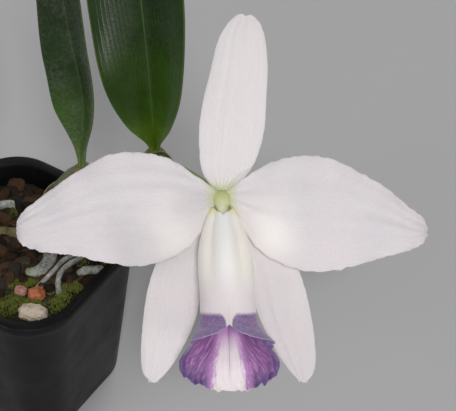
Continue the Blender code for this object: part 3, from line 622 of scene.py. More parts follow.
def bulb_axis(foot, top, bow, share):
    """A line from foot to top that bows sideways by a half sine."""
    foot = np.array((*foot, BULB_FOOT_LEVEL))
    return foot + (top - foot) * share + np.array([*bow, 0.0]) * np.sin(math.pi * share)


def bulb_finish():
    """Green skin, with shade painted darker into the furrows and darker rings where bracts were joined,
    yellow and corky with age. place is share along, furrow depth for the painted shade and the rings, age.
    """
    look = Look("bulb_skin", specular_ior_level=0.45, coat_weight=0.15, coat_roughness=0.3)
    share, furrow, age = look.place()
    young = look.ramp(share, (0.0, (0.16, 0.17, 0.05)), (0.35, (0.105, 0.165, 0.036)),
                      (0.85, (0.070, 0.135, 0.022)), (1.0, (0.13, 0.10, 0.045)))
    older = look.mix(look.times(age, 0.75), young, (0.27, 0.235, 0.075))
    # painted shade: the skin is painted darker where the furrows sink, and darker at the rings where bracts
    # were joined
    shaded = look.mix(furrow, older, (0.58, 0.60, 0.42), "MULTIPLY")
    specks = look.ramp(look.noise(520, 4, 0.7), (0.60, 0.0), (0.70, 0.45))
    drawn_out = look.put("Mapping", {"Vector": look.put("TexCoord")["Object"], "Scale": (1, 1, 0.12)})[0]
    return look.feed(base_color=look.mix(specks, shaded, (0.22, 0.19, 0.10)),
                     roughness=look.ramp(look.noise(150, 4), (0.3, 0.32), (0.7, 0.55)),
                     normal=look.bump(look.noise(900, 5, 0.6, where=drawn_out), 0.0002))


bulb_skin = bulb_finish()
share = 1 - (1 - column(BULB_RINGS)) ** 1.15
angles = ring_angles(BULB_SIDES)
# blunt ribs between narrow furrows, with finer wrinkles that deepen with age
rib = np.abs(np.cos(0.5 * BULB_FURROWS * angles)) ** 0.55
joints = sum(hill(share, joint, 0.006) for joint in BULB_JOINTS)
# the furrows' depth with the joint rings, which also paints shade into the skin's colour
furrow = np.clip(1.05 - rib * 1.3 + 0.45 * joints, 0, 1)
club = np.interp(share, BULB_SHARES, BULB_SHAPE) * rounded_off(share, 0.985, 0.016, 0.15)
for number, foot, top, bow, radius, age in BULBS:
    fine = lumps(np.cos(angles) * 9, np.sin(angles) * 9 + share * 2.5, 2.4, 30 + number)
    sunk = BULB_FURROW_DEPTH * 0.8 * (1 + age) * (1 - rib) + 0.025 * joints
    girth = radius * club * (1 - sunk + 0.01 * (1 + 2 * age) * fine)
    add_tube(f"bulb_{number}", bulb_axis(foot, top, bow, share), girth, BULB_SIDES, bulb_skin,
             [f"pseudobulb_{number}"], (share, furrow, age), level_foot=True)


# Bracts: the dry papery sheaths that wrapped each new shoot. They are slit down one side, fray at the tip and
# show the threads of their old veins.
BRACT_SHARE = 0.46
BRACT_START = 3.4
BRACT_SLIT = 0.12
BRACT_THICKNESS = 0.42
BRACT_GRID = (64, 61)
AXIS_POINTS = 101


def thin_shell(middle, half_thickness, welded=None):
    """A closed blade round a grid of middle points: each is pushed to both sides along the surface's normal
    by half the thickness there, and the edges are walled. Rows where welded is true join round into a tube.
    Gives points, faces, and which grid point each point came from."""
    rows, columns = middle.shape[:2]
    normal = unit(np.cross(np.gradient(middle, axis=0), np.gradient(middle, axis=1)))
    push = normal * np.broadcast_to(half_thickness, (rows, columns))[..., None]
    front = np.arange(rows * columns).reshape(rows, columns)
    open_rows = np.ones(rows - 1, bool)
    if welded is not None:
        front[welded, -1] = front[welded, 0]
        open_rows = ~(welded[:-1] & welded[1:])
    back = front + rows * columns

    def quads(a, b, c, d):
        return np.stack([a, b, c, d], -1).reshape(-1, 4)

    faces = np.concatenate([
        quads(front[:-1, :-1], front[1:, :-1], front[1:, 1:], front[:-1, 1:]),
        quads(back[:-1, :-1], back[:-1, 1:], back[1:, 1:], back[1:, :-1]),
        quads(front[0, :-1], front[0, 1:], back[0, 1:], back[0, :-1]),
        quads(front[-1, 1:], front[-1, :-1], back[-1, :-1], back[-1, 1:]),
        quads(front[1:, 0], front[:-1, 0], back[:-1, 0], back[1:, 0])[open_rows],
        quads(front[:-1, -1], front[1:, -1], back[1:, -1], back[:-1, -1])[open_rows],
    ])
    used, faces = np.unique(faces, return_inverse=True)
    points = np.concatenate([(middle + push).reshape(-1, 3), (middle - push).reshape(-1, 3)])[used]
    return points, faces.reshape(-1, 4).tolist(), used % (rows * columns)


def thinned(thickness, columns, margin):
    """Half the thickness across a blade, which falls to a share of itself, margin, at both side edges."""
    return 0.5 * thickness * (1 - (1 - margin) * np.linspace(-1, 1, columns) ** 10)


def add_blade(name, middle, half_thickness, finish, slot, nodes, welded=None, **kept):
    """A piece from a thin shell. kept names what its finish reads on the grid of middle points."""
    points, faces, source = thin_shell(middle, half_thickness, welded)
    piece = add_piece(name, points, faces, finish, nodes)
    for kind, parts in kept.items():
        keep(piece.data, kind, parts, source)


def new_group(name, inputs, outputs):
    """A shader node group of plain values: its nodes, what it is given and what it gives."""
    group = bpy.data.node_groups.new(name, "ShaderNodeTree")
    for socket, value in inputs.items():
        made = group.interface.new_socket(socket, in_out="INPUT", socket_type="NodeSocketFloat")
        made.default_value = value
    for socket in outputs:
        group.interface.new_socket(socket, in_out="OUTPUT", socket_type="NodeSocketFloat")
    return Nodes(group), group.nodes.new("NodeGroupInput").outputs, group.nodes.new("NodeGroupOutput").inputs


def thread_group():
    """Veins or threads along a blade: a wavering share across it, times a count, folded to thin lines."""
    defaults = {"Along": 0.0, "Across": 0.0, "Count": 20.0, "Waver": 0.5, "Width": 0.3}
    group, given, gives = new_group("lengthwise_threads", defaults, ["Thread"])
    inside = group.spot(group.times(given["Along"], 3.0), group.times(given["Across"], 3.0))
    drift = group.times(group.noise(2.0, 3, 0.5, where=inside), given["Waver"])
    fold = group.math("PINGPONG", group.math("MULTIPLY_ADD", given["Across"], given["Count"], drift), 1.0)
    limits = {0: fold, 1: given["Width"], 2: 0.0, 3: 0.0, 4: 1.0}
    fill(gives["Thread"], group.put("MapRange", limits, interpolation_type="SMOOTHSTEP")[0])
    return group.tree


threads = thread_group()


def threads_on(look, share, across, count, waver, width):
    """Threads along this surface: 1 on a thread and 0 between them."""
    sockets = {"Along": share, "Across": across, "Count": count, "Waver": waver, "Width": width}
    return look.put("Group", sockets, node_tree=threads)[0]


def bract_finish():
    """Straw-coloured paper with brown threads and stains. place is share along, share across, margin."""
    look = Look("papery_bract", roughness=0.72, specular_ior_level=0.3)
    share, across, margin = look.place()
    paper = look.ramp(look.noise(130, 6, 0.65), (0.3, (0.30, 0.215, 0.115)), (0.55, (0.52, 0.44, 0.29)),
                      (0.8, (0.66, 0.60, 0.46)))
    stained = look.mix(look.ramp(share, (0.0, 0.75), (0.22, 0.0)), paper, (0.115, 0.065, 0.030))
    worn = look.ramp(look.noise(160, 5, 0.6), (0.36, 0.1), (0.62, 1.0))
    vein = look.times(threads_on(look, share, across, 22.0, 2.4, 0.36), worn)
    shown = look.mix(look.times(vein, 0.5), stained, (0.23, 0.155, 0.08))
    edge = look.ramp(margin, (0.0, 0.6), (0.05, 0.0))
    crinkle = look.bump(look.noise(300, 5), 0.0005)
    return look.feed(base_color=look.mix(edge, shown, (0.16, 0.10, 0.05)),
                     normal=look.bump(vein, 0.00018, Normal=crinkle))


papery = bract_finish()
step = column(BRACT_GRID[0])
across = np.linspace(-1, 1, BRACT_GRID[1])
turn = math.pi + (math.pi - BRACT_SLIT) * across
axis_share = column(AXIS_POINTS)
for number, foot, top, bow, radius, age in BULBS:
    axis = bulb_axis(foot, top, bow, axis_share)
    low = BRACT_START / np.linalg.norm(axis[-1] - axis[0])
    # the tip slants away from the slit, and is frayed into uneven teeth
    frayed = 0.012 * lumps(across * 30, 0, 5, 40 + number) + 0.008 * np.abs(np.sin(across * 23 + number))
    high = BRACT_SHARE * (0.62 + 0.38 * np.sin(turn / 2)) - np.abs(frayed)
    reach = low + (high - low) * step
    line = [np.stack([np.interp(reach, axis_share[:, 0], part[:, k]) for k in range(3)], -1)
            for part in (axis, *frames_along(axis))]
    girth = radius * np.interp(reach, BULB_SHARES, BULB_SHAPE) * (1 + 0.3 * BULB_FURROW_DEPTH) + 0.75
    girth += 0.25 * lumps(across * 9, step * 14, 3.4, 50 + number) + 0.65 * step ** 2
    margin = np.minimum(1 - step, 1.2 * (1 - np.abs(across)))
    add_blade(f"dry_bract_{number}", wrapped(*line, turn, girth), thinned(BRACT_THICKNESS, len(across), 0.6),
              papery, "dry_bract", [f"bract_{number}"], place=(step, across, margin))


# Leaves: one thick leathery leaf tops each of the three younger stems. Both halves fold up from the midrib,
# most at the base, and the upper face is glossy and dark with a fine pale margin.
LEAF_SHARES = (0, 0.035, 0.07, 0.15, 0.21, 0.28, 0.4, 0.55, 0.7, 0.84, 0.93, 0.98, 1.0)
LEAVES = (
    # name, base, middle line from the base, half widths, turn, dust
    ("leaf_1", (56.7, -42.9, 169.9),
     ((0, 0, 0), (-1.5, 3, 35), (-4, 8, 70), (-8.5, 15.5, 104), (-15, 25, 136)),
     (2.4, 5.8, 10.6, 15.6, 17.4, 18.0, 17.9, 17.0, 15.2, 11.6, 7.2, 3.2, 0.8), 11.0, 0.15),
    ("leaf_2", (29.2, -18.8, 138.6),
     ((0, 0, 0), (1.8, 2.4, 29), (-1.6, 5.5, 58), (-4.2, 10, 87), (-10, 17, 114)),
     (2.2, 3.0, 4.2, 8.6, 11.6, 12.6, 12.3, 10.8, 9.4, 7.2, 4.6, 2.4, 0.8), 35.0, 0.65),
    ("leaf_3", (-27.3, 16.6, 128.4), ((0, 0, 0), (-5, 5, 31), (-13, 12, 61), (-25, 22, 88), (-40, 35, 112)),
     (2.4, 4.2, 7.6, 13.0, 15.4, 15.8, 15.8, 15.2, 13.6, 10.2, 6.4, 3.0, 0.8), -20.0, 0.35),
)
LEAF_FOLD = np.radians([58, 48, 40, 32, 26, 21, 17, 13, 10])
LEAF_THICKNESS = 1.4
LEAF_COLUMNS = 57
LEAF_TIP_START = 0.93


def leaf_finish():
    """Dark glossy green, lighter at the base and on the midrib, with dried droplets and dust on the older
    leaves. place is share along, share across, dust."""
    look = Look("leaf_skin", specular_ior_level=0.26)
    share, across, dust = look.place()
    blade = look.ramp(share, (0.0, (0.10, 0.17, 0.006)), (0.10, (0.036, 0.088, 0.004)),
                      (0.36, (0.0085, 0.027, 0.0012)), (1.0, (0.004, 0.016, 0.0012)))
    toned = look.mix(1.0, blade, look.ramp(look.noise(60, 5, 0.6), (0.35, 0.75), (0.65, 1.25)), "MULTIPLY")
    side = look.math("ABSOLUTE", across)
    ribbed = look.mix(look.ramp(side, (0.0, 0.75), (0.035, 0.0)), toned, (0.060, 0.125, 0.018))
    edged = look.mix(look.ramp(side, (0.972, 0.0), (0.995, 0.6)), ribbed, (0.10, 0.14, 0.04))
    vein = threads_on(look, share, across, 26.0, 0.25, 0.5)
    spots = look.ramp(look.noise(900, 6, 0.75), (0.42, 0.12), (0.66, 1.0))
    film = look.ramp(look.noise(40, 5, 0.6), (0.34, 0.1), (0.66, 1.0))
    lying = look.times(look.times(spots, film), dust)
    cells = look.bump(look.noise(1500, 3), 0.00005, 0.6)
    return look.feed(base_color=look.mix(look.times(lying, 0.8), edged, (0.20, 0.22, 0.17)),
                     roughness=look.math("MULTIPLY_ADD", lying, 0.42, 0.22),
                     normal=look.bump(vein, 0.00005, 0.5, Normal=cells))


def leaf_width(half_widths, share):
    """Half the width along a leaf: the listed values, smoothed by a bell curve except close to the tip."""
    even = np.linspace(-0.2, 1.2, 701)
    spread = np.exp(-np.linspace(-3, 3, 61) ** 2 / 2)
    rounded = np.convolve(np.interp(even, LEAF_SHARES, half_widths), spread / spread.sum(), "same")
    listed = np.interp(share, LEAF_SHARES, half_widths)
    return np.where(share > LEAF_TIP_START, listed, np.interp(share, even, rounded))


leaf_skin = leaf_finish()
# rows stand closest in the stem's top, at the base and round the tip
share = np.concatenate([[-0.020, -0.010, 0, 0.012, 0.024, 0.035, 0.05],
                        np.linspace(0.07, LEAF_TIP_START, 120),
                        1 - (1 - LEAF_TIP_START) * np.linspace(0.95, 0, 22) ** 1.6])[:, None]
across = np.sin(np.linspace(-1, 1, LEAF_COLUMNS) * math.pi / 2)
# each half rises from a rounded midrib, its margin turned down a little and slowly waved
lift = np.sqrt(across ** 2 + 0.012) - math.sqrt(0.012) - 0.05 * across ** 6
leaf_half = LEAF_THICKNESS / 2 * (1 - 0.68 * across ** 8) * (1 + 0.25 * hill(across, 0, 0.1))
for name, base, line, half_widths, turn, dust in LEAVES:
    turned = math.radians(turn)
    middle_line = base + along(line, share)
    tangents = unit(np.gradient(middle_line, axis=0))
    side = unit(np.array([1.0, 0, 0]) - tangents * tangents[:, :1])
    side, normal = spun(side, np.cross(side, tangents), -turned)
    wide = leaf_width(half_widths, share)
    fold = along(LEAF_FOLD, share)
    wave = 0.35 * lumps(share * 60 + 9 * turned, across * 3, 22, 60) * np.abs(across) ** 3
    outward = across * wide * np.cos(fold)
    upward = lift * wide * np.sin(fold) + wave * np.minimum(1, wide / 8)
    points = middle_line[:, None] + side[:, None] * outward[..., None] + normal[:, None] * upward[..., None]
    add_blade(f"leather_{name}", points, leaf_half, leaf_skin, "leaf_green", [name],
              place=(share, across, dust))


# The flower stalk rises from the top of the youngest stem through its folded sheath. Below the bloom it
# thickens into the ribbed ovary, which pales toward the flower. The bloom's own frame is x right, y up and
# z out of its face.
BLOOM_MIDDLE = np.array([79.0, -89.5, 190.0])
BLOOM_TILT = math.radians(45)
STALK_PATH = (
    (0, 0, -5.1), (-1.4, 1.0, -8.4), (-5.0, 4.4, -13.8), (-10.0, 8.0, -20.0), (-14.6, 10.6, -26.5),
    (-18.4, 12.7, -33.5), (-20.6, 13.6, -40.0), (-21.8, 13.15, -45.4),
)
STALK_RADII = (1.7, 2.0, 1.7, 1.4, 1.4, 1.5, 1.6, 1.6)
STALK_RINGS = 110
STALK_SIDES = 48
STALK_RIBS = 6
SHEATH_PATH = ((-21.7, 13.25, -45.0), (-21.2, 13.5, -42.4), (-20.2, 13.5, -38.8), (-18.9, 12.9, -35.2))
SHEATH_RADIUS = 2.5
SHEATH_THICKNESS = 0.5
SHEATH_GRID = (60, 61)


def from_bloom(points):
    """Takes points from the bloom's frame to the plant's: tipped back about x, then moved to the middle."""
    x, y, z = np.moveaxis(points, -1, 0)
    return np.stack([x, *spun(y, z, BLOOM_TILT)], -1) + BLOOM_MIDDLE


def stalk_finish():
    """Green with brown flecks, pale green-white at the flower. place is share from the flower, 0, 0."""
    look = Look("stalk_skin", roughness=0.42, specular_ior_level=0.45)
    share, _, _ = look.place()
    fade = look.ramp(share, (0.0, (0.56, 0.62, 0.42)), (0.16, (0.36, 0.46, 0.20)), (0.5, (0.16, 0.25, 0.065)),
                     (1.0, (0.12, 0.19, 0.045)))
    flecks = look.ramp(look.noise(700, 3), (0.60, 0.0), (0.68, 0.5))
    return look.feed(base_color=look.mix(flecks, fade, (0.19, 0.10, 0.08)),
                     normal=look.bump(look.noise(1100, 3), 0.0001))


share = column(STALK_RINGS)
furrow = 0.5 - 0.5 * np.cos(STALK_RIBS * ring_angles(STALK_SIDES))
girth = along(STALK_RADII, share) * (1 - 0.10 * hill(share, 0.14, 0.16) * furrow)
add_tube("flower_stem", from_bloom(along(STALK_PATH, share)), girth, STALK_SIDES, stalk_finish(),
         ["flower_stalk"], (share, 0.0, 0.0))


def sheath_finish():
    """Half-dried green paper, browner at its pointed tip. place is share along, share across, 0."""
    look = Look("stem_sheath", roughness=0.55, specular_ior_level=0.4)
    share, across, _ = look.place()
    paper = look.ramp(share, (0.0, (0.135, 0.17, 0.05)), (0.6, (0.21, 0.21, 0.075)),
                      (1.0, (0.34, 0.25, 0.12)))
    vein = threads_on(look, share, across, 13.0, 0.4, 0.4)
    return look.feed(base_color=look.mix(look.times(vein, 0.4), paper, (0.07, 0.09, 0.025)),
                     normal=look.bump(vein, 0.00012))


# the sheath is wrapped most of the way round at its foot, and opens toward its tip
share = column(SHEATH_GRID[0])
path = from_bloom(along(SHEATH_PATH, share))[:, None]
sides, seconds = (vectors[:, None] for vectors in frames_along(path[:, 0]))
across = np.linspace(-1, 1, SHEATH_GRID[1])
turn = (2.75 - 1.9 * share ** 2) * across + 2.2
radius = SHEATH_RADIUS * (1 + 0.1 * share) + 0.08 * lumps(across * 6, share * 10, 3, 70)
middle = wrapped(path, sides, seconds, turn, radius)
add_blade("stem_sheath", middle, thinned(SHEATH_THICKNESS, len(across), 0.5), sheath_finish(),
          "green_sheath", ["flower_sheath"], place=(share, across, 0.0))


# Sepals and petals: three narrow sepals behind and two broad petals in front, all of soft crystalline white
# tissue with fine lengthwise veins. They are green where they join, and the petals' margins are crisped.
LEFT_PETAL = (
    # upper margin, lower margin
    ((-1.4, 2.8), (-1.6, -0.4)), ((-8.6, 7.9), (-6.4, -9.8)), ((-16.0, 12.5), (-13.0, -16.2)),
    ((-25.0, 14.4), (-24.0, -19.9)), ((-34.5, 13.6), (-35.0, -19.0)), ((-45.1, 7.9), (-45.1, -16.8)),
    ((-52.6, 2.7), (-53.0, -16.0)), ((-59.8, -2.7), (-59.4, -14.4)), ((-62.3, -5.8), (-62.1, -12.4)),
    ((-62.6, -7.8), (-62.5, -10.8)),
)
RIGHT_PETAL = (
    ((1.4, 2.8), (1.6, -0.4)), ((8.2, 7.7), (7.2, -10.0)), ((15.5, 11.6), (13.4, -16.8)),
    ((24.4, 13.4), (24.0, -21.2)), ((33.5, 12.4), (33.8, -21.3)), ((42.7, 7.9), (42.7, -19.2)),
    ((50.0, 3.7), (50.0, -17.1)), ((57.3, -2.2), (57.3, -15.3)), ((61.4, -5.2), (61.1, -13.6)),
    ((62.4, -7.6), (62.4, -11.8)),
)
PETAL_RISE = (0.7, 1.8, 3.2, 4.0, 3.4, 1.6, -1.0, -3.4)
DORSAL_SEPAL = (
    # left margin, right margin
    ((-2.0, 2.4), (2.2, 2.4)), ((-5.9, 8.5), (8.2, 8.5)), ((-6.9, 15.0), (11.3, 15.0)),
    ((-6.9, 22.5), (13.0, 22.5)), ((-5.6, 31.0), (13.5, 31.0)), ((-3.4, 40.0), (13.9, 40.0)),
    ((-1.4, 48.2), (13.3, 48.2)), ((1.3, 53.4), (12.0, 53.2)), ((4.0, 56.3), (10.4, 55.6)),
)
LEFT_SEPAL = (
    ((-3.4, 1.0), (-1.3, -1.6)), ((-9.5, -2.5), (-2.8, -6.5)), ((-15.4, -8.5), (-4.0, -12.0)),
    ((-19.6, -17.5), (-5.3, -19.0)), ((-22.8, -27.0), (-6.6, -27.5)), ((-24.4, -37.5), (-8.2, -36.8)),
    ((-25.0, -47.0), (-13.0, -47.0)), ((-24.4, -52.8), (-16.8, -52.6)), ((-22.2, -55.9), (-20.2, -55.9)),
)
RIGHT_SEPAL = (
    ((1.3, -1.6), (3.6, 1.0)), ((3.2, -6.5), (10.2, -2.5)), ((5.0, -12.0), (16.6, -8.5)),
    ((7.1, -19.5), (21.6, -16.8)), ((9.0, -27.5), (25.2, -26.0)), ((11.8, -36.8), (27.7, -37.0)),
    ((17.0, -47.0), (28.8, -47.0)), ((20.8, -52.6), (28.2, -52.8)), ((24.0, -55.9), (26.0, -55.9)),
)
DORSAL_RISE = (-1.0, 0.4, 1.6, 2.0, 1.4, 0.2, -1.6)
LATERAL_RISE = (-3.9, -4.2, -4.4, -4.6, -4.8, -4.6, -4.0)
BLADES = (
    # name, node, outline, rise, ruffle, waves, seed
    ("sepal_top", "dorsal_sepal", DORSAL_SEPAL, DORSAL_RISE, 0.20, 11, 80),
    ("sepal_left", "lateral_sepal_left", LEFT_SEPAL, LATERAL_RISE, 0.15, 9, 81),
    ("sepal_right", "lateral_sepal_right", RIGHT_SEPAL, LATERAL_RISE, 0.15, 10, 82),
    ("broad_petal_left", "petal_left", LEFT_PETAL, PETAL_RISE, 0.45, 38, 83),
    ("broad_petal_right", "petal_right", RIGHT_PETAL, PETAL_RISE, 0.45, 35, 84),
)
BLADE_LENGTH = 62
# thickness, then roll, crisping, rows and columns
SEPAL_MAKE = (0.9, 1.3, 0.05, 130, 61)
PETAL_MAKE = (0.8, 1.6, 0.20, 170, 91)
WHITE = (0.81, 0.757, 0.767)


def crystal_group():
    """The glint of swollen surface cells: small rounded bumps, and a broad soft change of tone."""
    group, given, gives = new_group("crystalline_cells", {"Size": 2200.0}, ["Height", "Tone"])
    fill(gives["Height"], group.math("SUBTRACT", 1.0, group.cell_distance(given["Size"])))
    fill(gives["Tone"], group.noise(75, 3, 0.5))
    return group.tree


crystals = crystal_group()


def white_finish(name, veins, streak):
    """White tissue: faintly rosy or grey in broad patches, veins a little greyer, green at the very base, and
    painted shade at the borders of the swollen cells for their glint. place is share along, share across,
    and painted light: how far the tissue is painted brighter and warmer, as if light came back through it."""
    look = Look(name, roughness=0.5, specular_ior_level=0.32, sheen_weight=0.12, sheen_roughness=0.4,
                subsurface_weight=0.22, subsurface_scale=0.0016, subsurface_radius=(1.0, 0.82, 0.78))
    share, across, painted_light = look.place()
    height, tone = look.put("Group", {"Size": 3600.0}, node_tree=crystals)
    patches = look.ramp(tone, (0.36, (0.775, 0.731, 0.747)), (0.52, WHITE), (0.68, (0.825, 0.755, 0.767)))
    # painted shade: the borders between the swollen cells are painted greyer, for their glint
    glint = look.ramp(height, (0.25, 0.24), (0.80, 0.0))
    # painted light: brighter and warmer where light would come back through the tissue
    lit = look.mix(painted_light, look.mix(glint, patches, (0.52, 0.48, 0.51)), (0.97, 0.91, 0.88))
    broken = look.ramp(look.noise(110, 4, 0.6), (0.42, 0.0), (0.66, 1.0))
    vein = look.times(threads_on(look, share, across, veins, 2.2, 0.3), broken)
    lined = look.mix(look.times(vein, 0.14), lit, (0.62, 0.585, 0.61))
    streaked = look.math("MULTIPLY_ADD", threads_on(look, share, across, 9.0, 0.6, 0.5), -streak, share)
    foot = look.ramp(streaked, (0.0, 0.9), (0.025, 0.55), (0.065, 0.0))
    return look.feed(base_color=look.mix(foot, lined, (0.56, 0.63, 0.30)),
                     normal=look.bump(vein, 0.00006, 0.4, Normal=look.bump(height, 0.0001, 0.8)))


def blade_middle(outline, rise, ruffle, waves, seed, roll, crisping, rows, columns):
    """A petal or sepal in the bloom's frame: straight across between its two margins, with an arched length,
    margins rolled back by the square of the share across, a wave that grows toward them, and an uneven,
    crisped edge."""
    share = 0.4 * column(rows) + 0.3 * (1 - np.cos(math.pi * column(rows)))
    across = np.linspace(-1, 1, columns)
    across = 0.5 * across + 0.5 * np.sin(across * math.pi / 2)
    margins = along(outline, share)[:, None]
    first, second = margins[..., :2], margins[..., 2:]
    mix = (across[:, None] + 1) / 2
    flat = first * (1 - mix) + second * mix
    length, side = share * BLADE_LENGTH, 9 * np.sign(across)
    fade = np.clip(10 * share * (1 - share), 0, 1)
    teeth = crisping * (lumps(length, side, 2.6, seed) + 0.5 * lumps(length, side, 0.9, seed + 9))
    flat = flat + unit(second - first) * (teeth * across ** 5 * fade)[..., None]
    # the tip is blunt and faintly notched: the last rows run forward on both sides of the middle
    ahead = unit((first + second)[-1, 0] - (first + second)[-rows // 5, 0])
    blunt = 0.16 * (1 - across ** 2) - 0.12 * hill(across, 0, 0.28) - 0.12 * across ** 6
    bulge = np.linalg.norm((second - first)[-1]) * climb(share, 0.90, 0.10) ** 2 * blunt
    flat = flat + ahead * bulge[..., None]
    height = along(rise, share) - roll * across ** 2 * np.sin(math.pi * share)
    wave = ruffle * np.abs(across) ** 3 * np.sin(waves * share + 1.7 * across)
    fine = 0.5 * crisping * across ** 8 * lumps(length, side, 1.3, seed + 3) * fade
    # the midrib lies in a shallow fold, and low lengthwise folds run beside it
    rib = -0.16 * hill(across, 0, 0.10) * fade
    folds = 0.6 * ruffle * fade * lumps(9 * across, 6 * share, 3.4, seed + 5) * (1 - across ** 4)
    return np.concatenate([flat, (height + wave + fine + rib + folds)[..., None]], axis=2), share, across


sepal_tissue = white_finish("sepal_tissue", 13.0, 0.055)
petal_tissue = white_finish("petal_tissue", 24.0, 0.02)
for name, node, outline, rise, ruffle, waves, seed in BLADES:
    is_petal = "petal" in name
    thickness, *make = PETAL_MAKE if is_petal else SEPAL_MAKE
    middle, share, across = blade_middle(outline, rise, ruffle, waves, seed, *make)
    x, y, _ = np.moveaxis(middle, -1, 0)
    # painted light: the petals are painted brighter and warmer where a sepal lies behind them, as light comes
    # back through the petals there; the sepals are painted with a quarter of it all over
    painted_backlight = hill(np.abs(x), 15, 7.5) * hill(y, -11, 8.5) if is_petal else 0.25
    finish, slot = (petal_tissue, "petal_white") if is_petal else (sepal_tissue, "sepal_white")
    add_blade(name, from_bloom(middle), thinned(thickness, len(across), 0.5), finish, slot, [node],
              place=(share, across, painted_backlight))


# The column, where stamen and pistil are joined: a pale green club that starts as a blunt knob between the
# petals and runs down inside the lip, with the white anther cap hinged over its end.
COLUMN_PATH = (
    (0, 0.7, -3.0), (0, 0.6, -1.4), (0, 0.1, 0.2), (0.1, -1.6, 1.2), (0.2, -4.4, 2.3), (0.5, -9.5, 4.8),
    (0.9, -15.5, 7.6), (1.2, -21.5, 10.2), (1.4, -25.0, 11.8),
)
COLUMN_RADII = (2.4, 2.8, 2.7, 2.2, 1.5, 2.2, 3.0, 3.3, 2.8)
ANTHER_PATH = ((1.45, -25.6, 12.1), (1.5, -27.0, 12.7), (1.5, -28.4, 13.3), (1.5, -29.0, 13.6))
ANTHER_RADII = (2.5, 2.6, 1.7, 0.6)
COLUMN_SIDES = 44
CLUBS = (
    # name, node, slot, tissue, foot and tip colour, path, radii, rings, depth, count and start of its ridges
    ("column_club", "column", "column_green", "column_tissue", (0.58, 0.595, 0.27), (0.78, 0.80, 0.66),
     COLUMN_PATH, COLUMN_RADII, 90, 0.06, 3, 1.5),
    ("pollen_cap", "anther_cap", "anther", "anther_tissue", (0.82, 0.78, 0.80), (0.66, 0.50, 0.68),
     ANTHER_PATH, ANTHER_RADII, 30, 0.07, 2, 0.0),
)


def column_finish(name, foot, tip):
    """Waxy tissue that changes from its foot to its tip. place is share along, 0, 0."""
    look = Look(name, roughness=0.4, specular_ior_level=0.4, subsurface_weight=0.2, subsurface_scale=0.001)
    share, _, _ = look.place()
    height, tone = look.put("Group", {"Size": 1800.0}, node_tree=crystals)
    body = look.ramp(share, (0.0, foot), (0.30, foot), (0.6, tip))
    mottled = look.ramp(tone, (0.40, 0.0), (0.62, 0.35))
    return look.feed(base_color=look.mix(mottled, body, (0.80, 0.84, 0.60)),
                     normal=look.bump(height, 0.00005))


for name, node, slot, tissue, foot, tip, path, radii, count, depth, ridges, start in CLUBS:
    share = column(count)
    girth = along(radii, share) * (1 + depth * np.cos(ridges * ring_angles(COLUMN_SIDES) + start))
    add_tube(name, from_bloom(along(path, share)), girth, COLUMN_SIDES, column_finish(tissue, foot, tip),
             [node], (share, 0.0, 0.0))


# The lip: one large petal whose side lobes roll up over the column and meet in a seam, so that it makes a
# tube. Their front ends and the ruffled middle lobe are violet, with a white stripe down the middle.
LIP_STATIONS = (
    # floor y, floor z, radius, share of the roll left in the middle lobe
    (-3.9, -2.5, 3.2, 1.0), (-8.3, -2.4, 5.0, 1.0), (-13.5, -1.7, 6.5, 1.0), (-18.4, -0.6, 7.6, 1.0),
    (-24.2, 1.4, 8.0, 1.0), (-31.5, 4.6, 7.9, 1.0), (-38.9, 7.7, 8.2, 1.0), (-43.4, 9.2, 9.3, 0.98),
    (-46.2, 10.2, 10.5, 0.8), (-48.4, 11.0, 11.3, 0.5), (-50.6, 11.5, 12.0, 0.22), (-53.0, 11.5, 12.4, 0.0),
    (-55.4, 11.0, 12.6, -0.15), (-58.0, 10.2, 12.8, -0.25),
)
LIP_FRONT = np.array([
    # share of the way from the middle of the floor to the seam, and the floor's y where the front margin lies
    (0.0, -57.0), (0.12, -56.9), (0.17, -55.8), (0.22, -55.1), (0.29, -53.9), (0.34, -52.2), (0.37, -50.6),
    (0.395, -49.2), (0.415, -47.9), (0.43, -46.9), (0.45, -46.4), (0.50, -46.5), (0.60, -47.0), (0.70, -47.9),
    (0.80, -48.3), (0.90, -47.6), (0.96, -46.2), (1.0, -44.2),
])
LIP_FOOT_OPENING = 1.25
LIP_FOOT_LENGTH = 5.4
LIP_LEAN = (0.2, 0.5, 1.0, 1.6, 2.0, 2.3, 2.3)
LIP_TILT = math.radians(25)
LIP_THICKNESS = 0.7
LIP_GRID = (160, 261)
LOBE_SPLIT = 0.43
LOBE_VIOLET_TOP = -33.1
# how far down the bloom, and the white stripe's half width and its middle's shift to the right there
STRIPE_HALVES = ((38, 42, 48, 52, 57), (2.8, 3.3, 4.0, 4.7, 5.6))
STRIPE_SHIFTS = ((42, 48, 57), (0.1, -0.2, 0.2))
FAN_MIDDLE = 33.0


def arc(across, bend):
    """Sideways and upward run of an arc of this curvature that starts level."""
    bend = np.where(np.abs(bend) < 1e-3, 1e-3, bend)
    return np.sin(bend * across) / bend, (1 - np.cos(bend * across)) / bend


